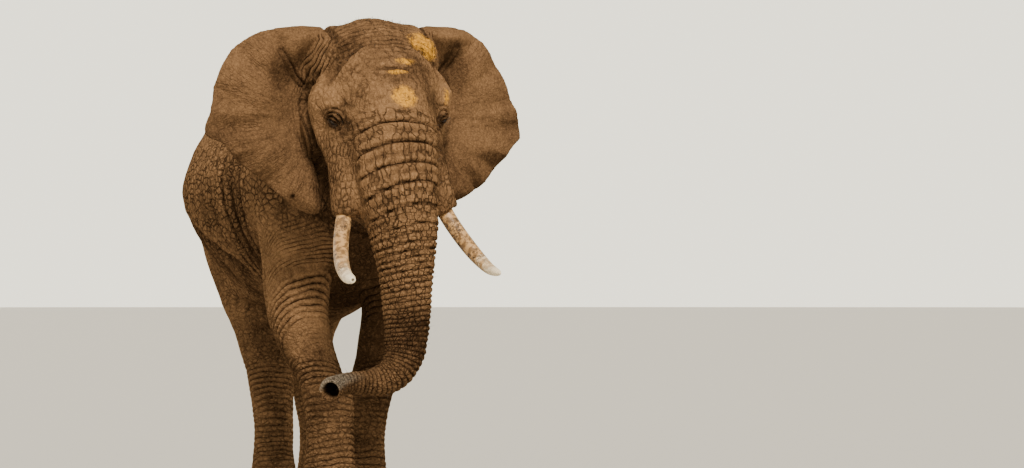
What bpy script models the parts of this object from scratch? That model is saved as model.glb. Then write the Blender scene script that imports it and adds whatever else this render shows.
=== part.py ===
"""A life-size African bush elephant bull in mid-stride, as a still museum model.

The bull faces -Y and stands on Z = 0. Its left side is +X. The flesh is modelled whole, from lofted
bodies and muscle masses that are fused, smoothed and thinned, and is then parted into named nodes
by thin cuts. Tusks, eyes, toenails and the tail brush are bodies of their own, seated in the flesh.
"""

import math
from functools import partial

import bmesh
import bpy
import numpy as np
from mathutils import Euler, Matrix, Vector

# ---- Driving dimensions, in metres -------------------------------------------------------------
CROWN_HEIGHT = 3.10
HEAD_TURN = 9.0  # degrees that the head is turned to the bull's left
HEAD_TILT = 0.045  # and how fast it rises to that side
NECK_PIVOT = Vector((0.0, -1.20, 0.0))  # the head turns about a vertical line through here
GAP = 0.0004  # the thin cut between one node and the next

BULK_VOXEL = 0.022  # grain of the first fusing, of trunk, torso and legs
FINE_VOXEL = 0.0115  # grain of the second, which takes in the thin ears and tail
BULK_SMOOTHING = 14
FINE_SMOOTHING = 3
FLESH_TRIANGLES = 4000
RING_POINTS = 28

EYE_RADIUS = 0.024
EYE_SEAT = Vector((0.350, -1.783, 2.443))
SIDES = {"left": 1.0, "right": -1.0}

# ---- Torso: one row for each station from the chest to the rump --------------------------------
# y, height of the back, height of the belly, half width, height of the widest line, squareness
TORSO = (
    (-1.28, 2.70, 1.74, 0.36, 2.20, 1.90),
    (-1.05, 2.92, 1.50, 0.50, 2.16, 1.90),
    (-0.72, 3.02, 1.34, 0.62, 2.12, 1.80),
    (-0.30, 3.00, 1.26, 0.75, 2.10, 1.62),
    (0.15, 2.95, 1.18, 0.84, 2.06, 1.52),
    (0.60, 2.97, 1.16, 0.86, 2.08, 1.50),
    (0.98, 2.98, 1.27, 0.80, 2.14, 1.55),
    (1.30, 2.86, 1.52, 0.66, 2.20, 1.70),
    (1.56, 2.62, 1.78, 0.46, 2.20, 1.90),
    (1.72, 2.36, 1.96, 0.22, 2.16, 2.00),
)

# ---- Legs: x, y, height, half width, half depth, from inside the body down to the sole ----------
LEGS = {
    "foreleg_right": (
        (-0.38, -0.76, 2.35, 0.18, 0.34),
        (-0.355, -0.82, 2.02, 0.215, 0.33),
        (-0.325, -0.90, 1.67, 0.225, 0.29),
        (-0.335, -0.95, 1.40, 0.205, 0.235),
        (-0.325, -1.00, 1.20, 0.192, 0.200),
        (-0.276, -1.05, 1.02, 0.172, 0.182),
        (-0.215, -1.10, 0.87, 0.156, 0.172),
        (-0.172, -1.14, 0.75, 0.158, 0.165),
        (-0.163, -1.19, 0.55, 0.156, 0.160),
        (-0.168, -1.215, 0.34, 0.160, 0.172),
        (-0.160, -1.235, 0.14, 0.208, 0.220),
        (-0.160, -1.240, 0.04, 0.218, 0.232),
        (-0.160, -1.240, -0.08, 0.218, 0.232),
    ),
    "foreleg_left": (
        (0.38, -0.76, 2.35, 0.18, 0.34),
        (0.355, -0.78, 2.02, 0.215, 0.33),
        (0.325, -0.78, 1.67, 0.225, 0.29),
        (0.325, -0.76, 1.40, 0.205, 0.235),
        (0.305, -0.73, 1.20, 0.185, 0.200),
        (0.265, -0.70, 1.02, 0.168, 0.182),
        (0.228, -0.67, 0.87, 0.154, 0.172),
        (0.200, -0.64, 0.75, 0.150, 0.165),
        (0.168, -0.57, 0.55, 0.146, 0.160),
        (0.163, -0.53, 0.34, 0.156, 0.172),
        (0.145, -0.52, 0.14, 0.208, 0.220),
        (0.145, -0.52, 0.04, 0.218, 0.232),
        (0.145, -0.52, -0.08, 0.218, 0.232),
    ),
    "hindleg_right": (
        (-0.40, 1.10, 2.45, 0.26, 0.42),
        (-0.41, 1.08, 2.10, 0.30, 0.46),
        (-0.37, 1.02, 1.75, 0.300, 0.42),
        (-0.315, 0.95, 1.42, 0.262, 0.320),
        (-0.240, 0.94, 1.10, 0.205, 0.235),
        (-0.190, 0.99, 0.78, 0.158, 0.180),
        (-0.165, 1.03, 0.48, 0.136, 0.150),
        (-0.164, 1.02, 0.26, 0.145, 0.165),
        (-0.160, 1.00, 0.11, 0.168, 0.205),
        (-0.160, 1.00, 0.04, 0.174, 0.212),
        (-0.160, 1.00, -0.08, 0.174, 0.212),
    ),
    "hindleg_left": (
        (0.40, 1.12, 2.45, 0.26, 0.42),
        (0.41, 1.14, 2.10, 0.30, 0.46),
        (0.36, 1.16, 1.75, 0.290, 0.42),
        (0.25, 1.24, 1.42, 0.235, 0.320),
        (0.15, 1.36, 1.10, 0.168, 0.225),
        (0.17, 1.44, 0.78, 0.148, 0.175),
        (0.222, 1.48, 0.48, 0.134, 0.150),
        (0.244, 1.49, 0.26, 0.143, 0.163),
        (0.250, 1.48, 0.11, 0.168, 0.205),
        (0.250, 1.48, 0.04, 0.174, 0.212),
        (0.250, 1.48, -0.08, 0.174, 0.212),
    ),
}

# ---- Forehead and trunk: x, y, height, half width, depth in front of the line and behind it -----
TRUNK = (
    (0.00, -1.50, 2.90, 0.300, 0.16, 0.20),
    (0.00, -1.63, 2.78, 0.325, 0.19, 0.20),
    (-0.005, -1.74, 2.61, 0.318, 0.21, 0.20),
    (-0.015, -1.82, 2.42, 0.298, 0.225, 0.20),
    (-0.020, -1.92, 2.20, 0.278, 0.225, 0.19),
    (-0.016, -2.00, 1.98, 0.254, 0.210, 0.18),
    (-0.006, -2.05, 1.77, 0.212, 0.188, 0.165),
    (0.00, -2.085, 1.56, 0.175, 0.165, 0.148),
    (0.00, -2.11, 1.36, 0.152, 0.150, 0.135),
    (-0.005, -2.125, 1.17, 0.139, 0.138, 0.125),
    (-0.035, -2.14, 1.027, 0.128, 0.128, 0.112),
    (-0.100, -2.155, 0.925, 0.110, 0.110, 0.098),
    (-0.200, -2.17, 0.881, 0.092, 0.086, 0.080),
    (-0.310, -2.185, 0.876, 0.076, 0.071, 0.066),
    (-0.410, -2.205, 0.880, 0.070, 0.063, 0.062),
    (-0.495, -2.245, 0.870, 0.071, 0.065, 0.066),
    (-0.560, -2.320, 0.846, 0.080, 0.074, 0.075),
)
TRUNK_CUTS = (1.80, 1.42, 1.06)  # heights where the hanging trunk is parted into lengths
TRUNK_TIP_REACH = -0.27  # and how far to the right its last length starts

# ---- Tusks: x, y, height, radius, from the root in the skull to the point -----------------------
TUSK = (
    (0.290, -1.780, 2.030, 0.046),
    (0.335, -1.880, 1.865, 0.048),
    (0.388, -2.000, 1.722, 0.047),
    (0.430, -2.150, 1.602, 0.044),
    (0.452, -2.310, 1.522, 0.038),
    (0.456, -2.440, 1.495, 0.027),
    (0.456, -2.490, 1.492, 0.011),
)
# how far out each tusk stands from that line, at its root and at its point
TUSK_SWAY = {1.0: (0.005, -0.010), -1.0: (-0.024, 0.024)}

# ---- Feet: toenails, where a foot ends, and each foot's count and spread of nails in degrees -----
NAIL_RADII = (0.052, 0.022, 0.046)
NAIL_HEIGHT = 0.056
FOOT_TOP = 0.50
NAILS = {"foreleg": (4, 112.0), "hindleg": (3, 84.0)}

# ---- Small tools --------------------------------------------------------------------------------
def smooth_through(rows, steps):
    """Rows of numbers, joined by a smooth curve with so many steps from each row to the next."""
    rows = np.array(rows, float)
    padded = np.vstack([2 * rows[0] - rows[1], rows, 2 * rows[-1] - rows[-2]])
    out = []
    for before, start, end, after in zip(padded, padded[1:], padded[2:], padded[3:]):
        for t in np.arange(steps) / steps:
            out.append(
                0.5
                * (
                    2 * start
                    + (end - before) * t
                    + (2 * before - 5 * start + 4 * end - after) * t**2
                    + (3 * start - before - 3 * end + after) * t**3
                )
            )
    return np.array(out + [rows[-1]])


def rounded(angle, power):
    """Cosine and sine of a superellipse: power 2 is round, more is squarer, less is pinched."""
    c, s = math.cos(angle), math.sin(angle)
    return (
        math.copysign(abs(c) ** (2 / power), c),
        math.copysign(abs(s) ** (2 / power), s),
    )


def loft(mesh, rings):
    """A closed body through rings that have the same number of points."""
    loops = []
    for ring in rings:
        made = bmesh.ops.create_circle(mesh, segments=len(ring), radius=1.0)["verts"]
        for vert, point in zip(made, ring):
            vert.co = point
        loops.append(list({edge for vert in made for edge in vert.link_edges}))
    for near, far in zip(loops, loops[1:]):
        bmesh.ops.bridge_loops(mesh, edges=near + far)
    for end in (loops[0], loops[-1]):
        bmesh.ops.contextual_create(mesh, geom=end)


def ball(mesh, centre, radii, turn=(0.0, 0.0, 0.0)):
    """An ellipsoid of three radii, turned by three angles in degrees."""
    angles = Euler([math.radians(a) for a in turn])
    place = Matrix.LocRotScale(Vector(centre), angles, Vector(radii))
    bmesh.ops.create_icosphere(mesh, subdivisions=4, radius=1.0, matrix=place)


def limb(mesh, start, end, start_radius, end_radius):
    """A tapering round-ended limb from one point to another."""
    start, end = Vector(start), Vector(end)
    turn = (end - start).to_track_quat("Z", "Y").to_matrix().to_4x4()
    place = Matrix.Translation((start + end) / 2) @ turn
    bmesh.ops.create_cone(
        mesh,
        cap_ends=True,
        segments=RING_POINTS,
        radius1=start_radius,
        radius2=end_radius,
        depth=(end - start).length,
        matrix=place,
    )
    ball(mesh, start, [start_radius] * 3)
    ball(mesh, end, [end_radius] * 3)


def mirrored(point, side):
    """A point of the left side, or its twin on the right."""
    return (point[0] * side, point[1], point[2])


def object_of(name, mesh):
    """A scene object that holds a bmesh, which is then freed."""
    bmesh.ops.recalc_face_normals(mesh, faces=mesh.faces)
    data = bpy.data.meshes.new(name)
    mesh.to_mesh(data)
    mesh.free()
    made = bpy.data.objects.new(name, data)
    bpy.context.scene.collection.objects.link(made)
    return made


def applied(target, kind, **settings):
    """Puts a modifier on the object and applies it."""
    modifier = target.modifiers.new(kind.lower(), kind)
    for key, value in settings.items():
        setattr(modifier, key, value)
    graph = bpy.context.evaluated_depsgraph_get()
    done = bpy.data.meshes.new_from_object(target.evaluated_get(graph))
    target.modifiers.clear()
    old, target.data = target.data, done
    bpy.data.meshes.remove(old)
    return target


def removed(*helpers):
    for helper in helpers:
        data = helper.data
        bpy.data.objects.remove(helper)
        bpy.data.meshes.remove(data)


def fused(name, pieces, voxel, smoothing):
    """Overlapping bodies as one skin of fine even faces, with its creases rounded."""
    mesh = bmesh.new()
    for piece in pieces:
        mesh.from_mesh(piece.data)
    whole = object_of(name, mesh)
    removed(*pieces)
    applied(whole, "REMESH", mode="VOXEL", voxel_size=voxel, adaptivity=0.0)
    applied(whole, "SMOOTH", factor=0.5, iterations=smoothing)
    return whole


# ---- Flesh --------------------------------------------------------------------------------------
def torso():
    mesh = bmesh.new()
    rings = []
    for y, back, belly, half_width, widest, squareness in smooth_through(TORSO, 3):
        ring = []
        for k in range(RING_POINTS * 2):
            angle = math.tau * k / (RING_POINTS * 2)
            c, s = rounded(angle, squareness)
            reach = back - widest if s > 0 else widest - belly
            ring.append((half_width * c, y, widest + reach * s))
        rings.append(ring)
    loft(mesh, rings)
    for side in SIDES.values():
        # shoulder blade, upper arm, point of the hip, haunch and the fold of the flank
        ball(mesh, mirrored((0.35, -0.70, 2.30), side), (0.22, 0.36, 0.50), (8, 12 * side, 0))
        ball(mesh, mirrored((0.345, -0.88, 1.88), side), (0.20, 0.28, 0.40), (-14, 0, 0))
        ball(mesh, mirrored((0.34, 0.92, 2.58), side), (0.24, 0.40, 0.24), (0, 30 * side, 0))
        ball(mesh, mirrored((0.43, 1.12, 2.14), side), (0.28, 0.44, 0.50), (-10, 0, 0))
        ball(mesh, mirrored((0.36, 0.70, 1.66), side), (0.20, 0.36, 0.32), (28, 0, 0))
    # brisket between the forelegs, and the sheath under the rear of the belly
    limb(mesh, (0.0, -1.14, 2.00), (0.0, -0.78, 1.60), 0.27, 0.22)
    ball(mesh, (0.0, 0.72, 1.22), (0.13, 0.34, 0.13), (-10, 0, 0))
    return object_of("torso_mass", mesh)


def leg(name):
    mesh = bmesh.new()
    rings = []
    for x, y, height, half_width, half_depth in smooth_through(LEGS[name], 3):
        turns = [math.tau * k / RING_POINTS for k in range(RING_POINTS)]
        rings.append(
            [(x + half_width * math.cos(a), y + half_depth * math.sin(a), height) for a in turns]
        )
    loft(mesh, rings)
    return object_of(name + "_mass", mesh)


def trunk_rings():
    """Rings of the forehead and trunk, each square to the line that they follow."""
    rows = smooth_through(TRUNK, 3)
    centres = [Vector(row[:3]) for row in rows]
    side = Vector((1.0, 0.0, 0.0))
    heading = (centres[1] - centres[0]).normalized()
    rings = []
    for k, (centre, row) in enumerate(zip(centres, rows)):
        ahead = centres[min(k + 1, len(rows) - 1)] - centres[max(k - 1, 0)]
        ahead.normalize()
        side = (heading.rotation_difference(ahead) @ side).normalized()
        heading = ahead
        front = heading.cross(side).normalized()
        ring = []
        for j in range(RING_POINTS):
            angle = math.tau * j / RING_POINTS
            c, s = rounded(angle, 2.15)
            depth = row[4] if s > 0 else row[5]
            ring.append(centre + side * (row[3] * c) + front * (depth * s))
        rings.append(ring)
    return rings


def head():
    """Skull, face, jaw and trunk, before the head is turned on the neck."""
    mesh = bmesh.new()
    loft(mesh, trunk_rings())
    ball(mesh, (0.0, -1.46, 2.70), (0.40, 0.36, CROWN_HEIGHT - 2.70))
    ball(mesh, (0.0, -1.40, 2.46), (0.42, 0.40, 0.50))
    for side in SIDES.values():
        # crown lobe, temple, brow, eye socket, cheekbone, tusk sheath and the corner of the jaw
        ball(mesh, mirrored((0.225, -1.46, 2.81), side), (0.200, 0.28, 0.250))
        ball(mesh, mirrored((0.315, -1.53, 2.56), side), (0.135, 0.25, 0.24))
        ball(mesh, mirrored((0.320, -1.68, 2.535), side), (0.115, 0.13, 0.095), (0, 0, -24 * side))
        ball(mesh, mirrored((0.285, -1.73, 2.430), side), (0.088, 0.14, 0.090))
        ball(mesh, mirrored((0.270, -1.62, 2.30), side), (0.115, 0.24, 0.24))
        sheath = mirrored((0.19, -1.72, 2.34), side), mirrored((0.295, -1.865, 1.945), side)
        limb(mesh, *sheath, 0.170, 0.108)
        ball(mesh, mirrored((0.20, -1.48, 2.08), side), (0.15, 0.24, 0.22))
        # the cheekbone's arch, widest just before the ear
        ball(mesh, mirrored((0.362, -1.51, 2.47), side), (0.105, 0.15, 0.23))
    # the jaw tapers forward to the hanging lower lip
    limb(mesh, (0.0, -1.48, 2.02), (0.0, -1.68, 1.87), 0.21, 0.13)
    limb(mesh, (0.0, -1.68, 1.87), (0.0, -1.79, 1.75), 0.12, 0.05)
    bmesh.ops.rotate(mesh, verts=mesh.verts, cent=NECK_PIVOT, matrix=head_turn())
    # the neck runs back from the turned skull into the shoulders
    limb(mesh, (0.02, -1.40, 2.44), (0.0, -0.98, 2.36), 0.385, 0.46)
    limb(mesh, (0.01, -1.38, 2.18), (0.0, -1.00, 2.02), 0.28, 0.36)
    return object_of("head_mass", mesh)


def head_turn():
    """The turn and tilt of the head on the neck, about the pivot."""
    tilt = Matrix.Identity(4)
    tilt[2][0] = HEAD_TILT
    return Matrix.Rotation(math.radians(HEAD_TURN), 4, "Z") @ tilt


def turned(point):
    """Where a point of the straight head lies once the head is turned."""
    return head_turn() @ (Vector(point) - NECK_PIVOT) + NECK_PIVOT


# ---- Ears ---------------------------------------------------------------------------------------
# free edge of the left and of the right ear, from the top of the root round to its foot:
# reach from the middle of the head, height
EAR_EDGES = {
    1.0: (
        (0.280, 3.015),
        (0.363, 3.044),
        (0.510, 3.042),
        (0.651, 3.023),
        (0.754, 2.977),
        (0.829, 2.900),
        (0.890, 2.807),
        (0.948, 2.692),
        (1.006, 2.551),
        (1.053, 2.360),
        (0.990, 2.280),
        (0.906, 2.181),
        (0.830, 2.099),
        (0.753, 2.032),
        (0.640, 1.970),
        (0.500, 1.915),
        (0.390, 1.890),
    ),
    -1.0: (
        (0.258, 3.020),
        (0.316, 3.048),
        (0.447, 3.058),
        (0.597, 3.050),
        (0.716, 3.020),
        (0.824, 2.955),
        (0.922, 2.848),
        (0.968, 2.736),
        (0.990, 2.600),
        (1.034, 2.412),
        (0.935, 2.345),
        (0.880, 2.270),
        (0.776, 2.173),
        (0.690, 2.110),
        (0.567, 1.989),
        (0.418, 1.893),
        (0.341, 1.895),
    ),
}
# the root, from the crown down to the corner of the jaw: reach, distance along Y, height
EAR_ROOT = (
    (0.250, -1.490, 2.985),
    (0.320, -1.470, 2.880),
    (0.360, -1.440, 2.720),
    (0.360, -1.420, 2.550),
    (0.340, -1.430, 2.380),
    (0.315, -1.460, 2.200),
    (0.300, -1.490, 2.040),
    (0.300, -1.500, 1.920),
)
EAR_EDGE_Y = (-1.50, -1.36, -1.36, -1.42, -1.50)  # how far back the free edge stands, at even steps
EAR_STEPS = 18
EAR_THICKNESS = 0.028
EAR_CUT = 0.475  # the ear is parted from the skull at this distance from the middle of the head


def ear_relief(across, down):
    """How far the ear's face is pushed back, from root to free edge and from crown to lobe."""
    bulge = -0.10 * math.sin(math.pi * across) * (1 - 0.4 * down)
    hollow = 0.05 * math.exp(-(((across - 0.26) / 0.16) ** 2) - ((down - 0.30) / 0.22) ** 2)
    ripple = 0.014 * math.sin(down * 26.0 + 1.0) * across**3
    return bulge + hollow + ripple


def ear(side):
    edge = smooth_through(EAR_EDGES[side], 3)
    steps = np.linspace(0, 1, len(edge))
    root = smooth_through(EAR_ROOT, 8)
    root = np.array([np.interp(steps, np.linspace(0, 1, len(root)), column) for column in root.T]).T
    edge_y = smooth_through([(y,) for y in EAR_EDGE_Y], 8)[:, 0]
    edge_y = np.interp(steps, np.linspace(0, 1, len(edge_y)), edge_y)
    mesh = bmesh.new()
    grid = []
    for across in np.linspace(0, 1, EAR_STEPS + 1):
        row = []
        for down, near, far, far_y in zip(steps, root, edge, edge_y):
            x = near[0] + (far[0] - near[0]) * across
            y = near[1] + (far_y - near[1]) * across + ear_relief(across, down)
            z = near[2] + (far[1] - near[2]) * across
            row.append(mesh.verts.new((x * side, y, z)))
        grid.append(row)
    for near, far in zip(grid, grid[1:]):
        for k in range(len(edge) - 1):
            mesh.faces.new((near[k], near[k + 1], far[k + 1], far[k]))
    bmesh.ops.recalc_face_normals(mesh, faces=mesh.faces)
    bmesh.ops.solidify(mesh, geom=mesh.faces[:], thickness=EAR_THICKNESS)
    # the gristly root, which swells where the ear leaves the skull
    limb(mesh, mirrored((0.26, -1.44, 2.89), side), mirrored((0.44, -1.44, 2.96), side), 0.10, 0.045)
    limb(mesh, mirrored((0.33, -1.40, 2.72), side), mirrored((0.31, -1.43, 2.10), side), 0.075, 0.06)
    bmesh.ops.rotate(mesh, verts=mesh.verts, cent=NECK_PIVOT, matrix=head_turn())
    return object_of("ear_mass", mesh)


# ---- Tail ---------------------------------------------------------------------------------------
# x, y, height, radius
TAIL = (
    (0.00, 1.56, 2.50, 0.120),
    (0.00, 1.75, 2.36, 0.090),
    (0.01, 1.85, 2.08, 0.060),
    (0.02, 1.87, 1.75, 0.043),
    (0.02, 1.86, 1.45, 0.035),
    (0.01, 1.85, 1.20, 0.029),
    (0.00, 1.85, 1.00, 0.026),
)
TAIL_FRONT = 1.80  # the tail is parted from the rump at this distance along Y
BRUSH_TOP = 1.06  # the hair of the brush hangs from here
# share of the brush's length, half width, half depth
BRUSH = (
    (0.0, 0.024, 0.020),
    (0.25, 0.030, 0.048),
    (0.55, 0.026, 0.052),
    (0.85, 0.014, 0.030),
    (1.0, 0.006, 0.012),
)
BRUSH_LENGTH = 0.44


def oval_loft(rows, points):
    """A closed body of level ovals: x, y, height, half width, half depth."""
    mesh = bmesh.new()
    turns = [math.tau * k / points for k in range(points)]
    rings = [[(x + a * math.cos(t), y + b * math.sin(t), z) for t in turns] for x, y, z, a, b in rows]
    loft(mesh, rings)
    return mesh


def tail():
    rows = [(x, y, z, radius, 0.85 * radius) for x, y, z, radius in smooth_through(TAIL, 3)]
    return object_of("tail_mass", oval_loft(rows, 16))


def tail_brush():
    """The flat brush of stiff hair that carries the line of the tail down from its end."""
    rows = []
    for share, half_width, half_depth in smooth_through(BRUSH, 2):
        rows.append((0.0, TAIL[-1][1], BRUSH_TOP - GAP - share * BRUSH_LENGTH, half_width, half_depth))
    return object_of("tail_brush", oval_loft(rows, 14))


# ---- Parts that are seated in the flesh ------------------------------------------------------------
def tusk(name, side, grow=0.0):
    """A tusk, straight at the lip and curving up and in, or the seat for it when grown by the gap."""
    mesh = bmesh.new()
    rows = smooth_through(TUSK, 2)
    rings = []
    for k, row in enumerate(rows):
        ahead = Vector(rows[min(k + 1, len(rows) - 1)][:3]) - Vector(rows[max(k - 1, 0)][:3])
        across = ahead.cross(Vector((0, 0, 1))).normalized()
        up = across.cross(ahead).normalized()
        centre = Vector(row[:3]) - ahead.normalized() * (grow if k == 0 else 0.0)
        centre.x += float(np.interp(k / (len(rows) - 1), (0, 1), TUSK_SWAY[side]))
        turns = [math.tau * j / 12 for j in range(12)]
        ring = [centre + (across * math.cos(t) + up * math.sin(t)) * (row[3] + grow) for t in turns]
        rings.append([mirrored(point, side) for point in ring])
    loft(mesh, rings)
    bmesh.ops.rotate(mesh, verts=mesh.verts, cent=NECK_PIVOT, matrix=head_turn())
    return object_of(name, mesh)


def eye(name, side, grow=0.0):
    mesh = bmesh.new()
    place = Matrix.Translation(turned(mirrored(EYE_SEAT, side)))
    bmesh.ops.create_icosphere(mesh, subdivisions=2, radius=EYE_RADIUS + grow, matrix=place)
    return object_of(name, mesh)


def toenails(leg_name, grow=0.0):
    """The nails round the front of one foot, as (name, object) pairs."""
    x, y, _, half_width, half_depth = LEGS[leg_name][-2]
    count, spread = NAILS[leg_name.split("_")[0]]
    made = []
    for k in range(count):
        angle = math.radians(-90 + spread * (k / (count - 1) - 0.5))
        place = Matrix.LocRotScale(
            Vector((x + half_width * math.cos(angle), y + half_depth * math.sin(angle), NAIL_HEIGHT)),
            Euler((math.radians(-8), 0.0, angle + math.pi / 2), "XYZ"),
            Vector([radius + grow for radius in NAIL_RADII]),
        )
        mesh = bmesh.new()
        bmesh.ops.create_uvsphere(mesh, u_segments=8, v_segments=4, radius=1.0, matrix=place)
        made.append(object_of(f"toenail_{leg_name}_{k + 1}", mesh))
    return made


# ---- Parting --------------------------------------------------------------------------------------
def block(low, high, grow=0.0, lean=0.0, in_head=False):
    """A box between two corners; its top leans up away from the midline, or it turns with the head."""
    mesh = bmesh.new()
    bmesh.ops.create_cube(mesh, size=1.0)
    for vert in mesh.verts:
        beyond = [value > 0 for value in vert.co]
        vert.co = [h + grow if far else l - grow for far, l, h in zip(beyond, low, high)]
        if beyond[2]:
            vert.co.z += lean * abs(vert.co.x)
    if in_head:
        bmesh.ops.rotate(mesh, verts=mesh.verts, cent=NECK_PIVOT, matrix=head_turn())
    return object_of("block", mesh)


def boolean(target, operation, cutter):
    applied(target, "BOOLEAN", operation=operation, object=cutter, solver="EXACT")
    removed(cutter)


def without_crumbs(node):
    """Drops the slivers that a cut leaves beside the node's one body."""
    mesh = bmesh.new()
    mesh.from_mesh(node.data)
    left, bodies = set(mesh.verts), []
    while left:
        body, edge = set(), [left.pop()]
        while edge:
            vert = edge.pop()
            body.add(vert)
            found = [link.other_vert(vert) for link in vert.link_edges]
            edge += [other for other in found if other in left]
            left.difference_update(found)
        bodies.append(body)
    largest = max(bodies, key=len)
    bmesh.ops.delete(mesh, geom=[vert for vert in mesh.verts if vert not in largest], context="VERTS")
    mesh.to_mesh(node.data)
    mesh.free()


def parted(flesh, name, cutter):
    """Takes what lies inside a cutter out of the flesh, as a node of its own, with a thin gap."""
    node = bpy.data.objects.new(name, flesh.data.copy())
    bpy.context.scene.collection.objects.link(node)
    boolean(node, "INTERSECT", cutter(0.0))
    boolean(flesh, "DIFFERENCE", cutter(GAP))
    without_crumbs(node)
    without_crumbs(flesh)
    return node


def across(side, inner, outer):
    """The two ends of a span on one side of the midline, in rising order."""
    return sorted((inner * side, outer * side))


def part_head(flesh):
    """The trunk in four lengths, the jaw, the ears, then the head and the neck."""
    upper, middle, lower = TRUNK_CUTS
    rooms = {
        "trunk_tip": ((-1.2, -3.0, 0.4), (TRUNK_TIP_REACH, -1.86, lower - 0.06)),
        "trunk_lower": ((TRUNK_TIP_REACH - 0.1, -3.0, 0.4), (0.6, -1.86, lower)),
        "trunk_middle": ((-0.6, -3.0, lower - 0.1), (0.6, -1.86, middle)),
        "trunk_upper": ((-0.6, -3.0, middle - 0.1), (0.6, -1.86, upper)),
        "jaw": ((-0.17, -1.86, 1.4), (0.17, -1.50, 1.95)),
    }
    for word, side in SIDES.items():
        near, far = across(side, EAR_CUT, 1.5)
        rooms["ear_" + word] = ((near, -1.80, 1.5), (far, -1.25, 3.4))
    rooms["head"] = ((-1.2, -3.0, 1.5), (1.2, -1.34, 3.5))
    rooms["neck"] = ((-1.2, -1.8, 1.62), (1.2, -1.09, 3.5))
    return [
        parted(flesh, name, partial(block, low, high, in_head=name != "neck"))
        for name, (low, high) in rooms.items()
    ]


def leg_room(name, grow):
    """What holds one leg: a block beside the midline with a slanting top, and one round its foot."""
    near, far = across(SIDES[name.split("_")[1]], 0.0, 1.2)
    if name.startswith("foreleg"):
        y_span, top, lean = (-1.8, -0.27), 1.05, 0.95
    else:
        y_span, top, lean = (0.60, 2.2), 0.92, 1.25
    room = block((near, y_span[0], FOOT_TOP - 0.02), (far, y_span[1], top), grow, lean)
    x, y, _, half_width, half_depth = LEGS[name][-1]
    reach_x, reach_y = half_width + 0.02, half_depth + 0.02
    foot = block((x - reach_x, y - reach_y, -1.0), (x + reach_x, y + reach_y, FOOT_TOP), grow)
    boolean(room, "UNION", foot)
    return room


def part_body(flesh):
    """The soles are cut flat, the tail and legs are taken off, and what is left is the torso."""
    boolean(flesh, "DIFFERENCE", block((-3.0, -3.0, -1.0), (3.0, 3.0, 0.0)))
    tail_ends = (-0.25, TAIL_FRONT, BRUSH_TOP), (0.25, 2.4, 2.6)
    nodes = [parted(flesh, "tail", partial(block, *tail_ends))]
    nodes += [parted(flesh, name, partial(leg_room, name)) for name in LEGS]
    flesh.name = flesh.data.name = "torso"
    return nodes + [flesh]


def seat_parts(nodes):
    """Eyes, tusks and toenails, each with a seat of its own shape cut in the flesh round it."""
    by_name = {node.name: node for node in nodes}
    made = []
    for word, side in SIDES.items():
        boolean(by_name["head"], "DIFFERENCE", tusk("seat", side, GAP))
        boolean(by_name["head"], "DIFFERENCE", eye("seat", side, GAP))
        made += [tusk("tusk_" + word, side), eye("eye_" + word, side)]
    for name in LEGS:
        for seat in toenails(name, GAP):
            boolean(by_name[name], "DIFFERENCE", seat)
        made += toenails(name)
    return made


# ---- Finish -----------------------------------------------------------------------------------------
# colour, roughness and metallic value of each material
MATERIALS = {
    "hide": ((0.150, 0.085, 0.045, 1.0), 0.85, 0.0),
    "ivory": ((0.700, 0.560, 0.400, 1.0), 0.45, 0.0),
    "nail": ((0.220, 0.160, 0.110, 1.0), 0.55, 0.0),
    "eye": ((0.020, 0.012, 0.008, 1.0), 0.10, 0.0),
    "tail_hair": ((0.015, 0.012, 0.010, 1.0), 0.50, 0.0),
}
MATERIAL_OF = {"tusk": "ivory", "toenail": "nail", "eye": "eye", "tail_brush": "tail_hair"}


def material_for(node_name):
    kind = next((kind for start, kind in MATERIAL_OF.items() if node_name.startswith(start)), "hide")
    found = bpy.data.materials.get(kind)
    if found:
        return found
    colour, roughness, metallic = MATERIALS[kind]
    made = bpy.data.materials.new(kind)
    made.use_nodes = True
    shader = made.node_tree.nodes["Principled BSDF"]
    shader.inputs["Base Color"].default_value = colour
    shader.inputs["Roughness"].default_value = roughness
    shader.inputs["Metallic"].default_value = metallic
    return made


def finish(nodes):
    """Stands the middle of the whole box over the origin, and gives each node its material."""
    corners = np.array([vert.co[:] for node in nodes for vert in node.data.vertices])
    middle = (corners.min(axis=0) + corners.max(axis=0)) / 2
    for node in nodes:
        node.data.transform(Matrix.Translation((-middle[0], -middle[1], 0.0)))
        node.data.materials.clear()
        node.data.materials.append(material_for(node.name))
        node.data.shade_smooth()
        node.data.set_sharp_from_angle(angle=math.radians(40))


def main():
    for stale in list(bpy.data.objects):
        bpy.data.objects.remove(stale)
    bulk = fused("bulk", [torso(), head(), *[leg(name) for name in LEGS]], BULK_VOXEL, BULK_SMOOTHING)
    ears = [ear(side) for side in SIDES.values()]
    flesh = fused("flesh", [bulk, tail(), *ears], FINE_VOXEL, FINE_SMOOTHING)
    applied(flesh, "DECIMATE", ratio=FLESH_TRIANGLES / (2 * len(flesh.data.polygons)))
    nodes = part_head(flesh) + part_body(flesh)
    nodes += seat_parts(nodes) + [tail_brush()]
    finish(nodes)


if __name__ == "__main__":
    main()
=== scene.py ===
"""The looks of a life-size African bush elephant bull: hide, eyes, tusks, nails and hair.

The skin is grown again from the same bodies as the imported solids, at a finer grain, and is then
folded, creased and cracked vertex by vertex. Sizes are in metres, in the frame of the solids.
The bull faces -Y. Points of its head are given with the head straight, before it is turned.
"""

import itertools
import math
import random
from functools import partial

import bmesh
import bpy
import numpy as np
from mathutils import Euler, Matrix, Vector


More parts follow.
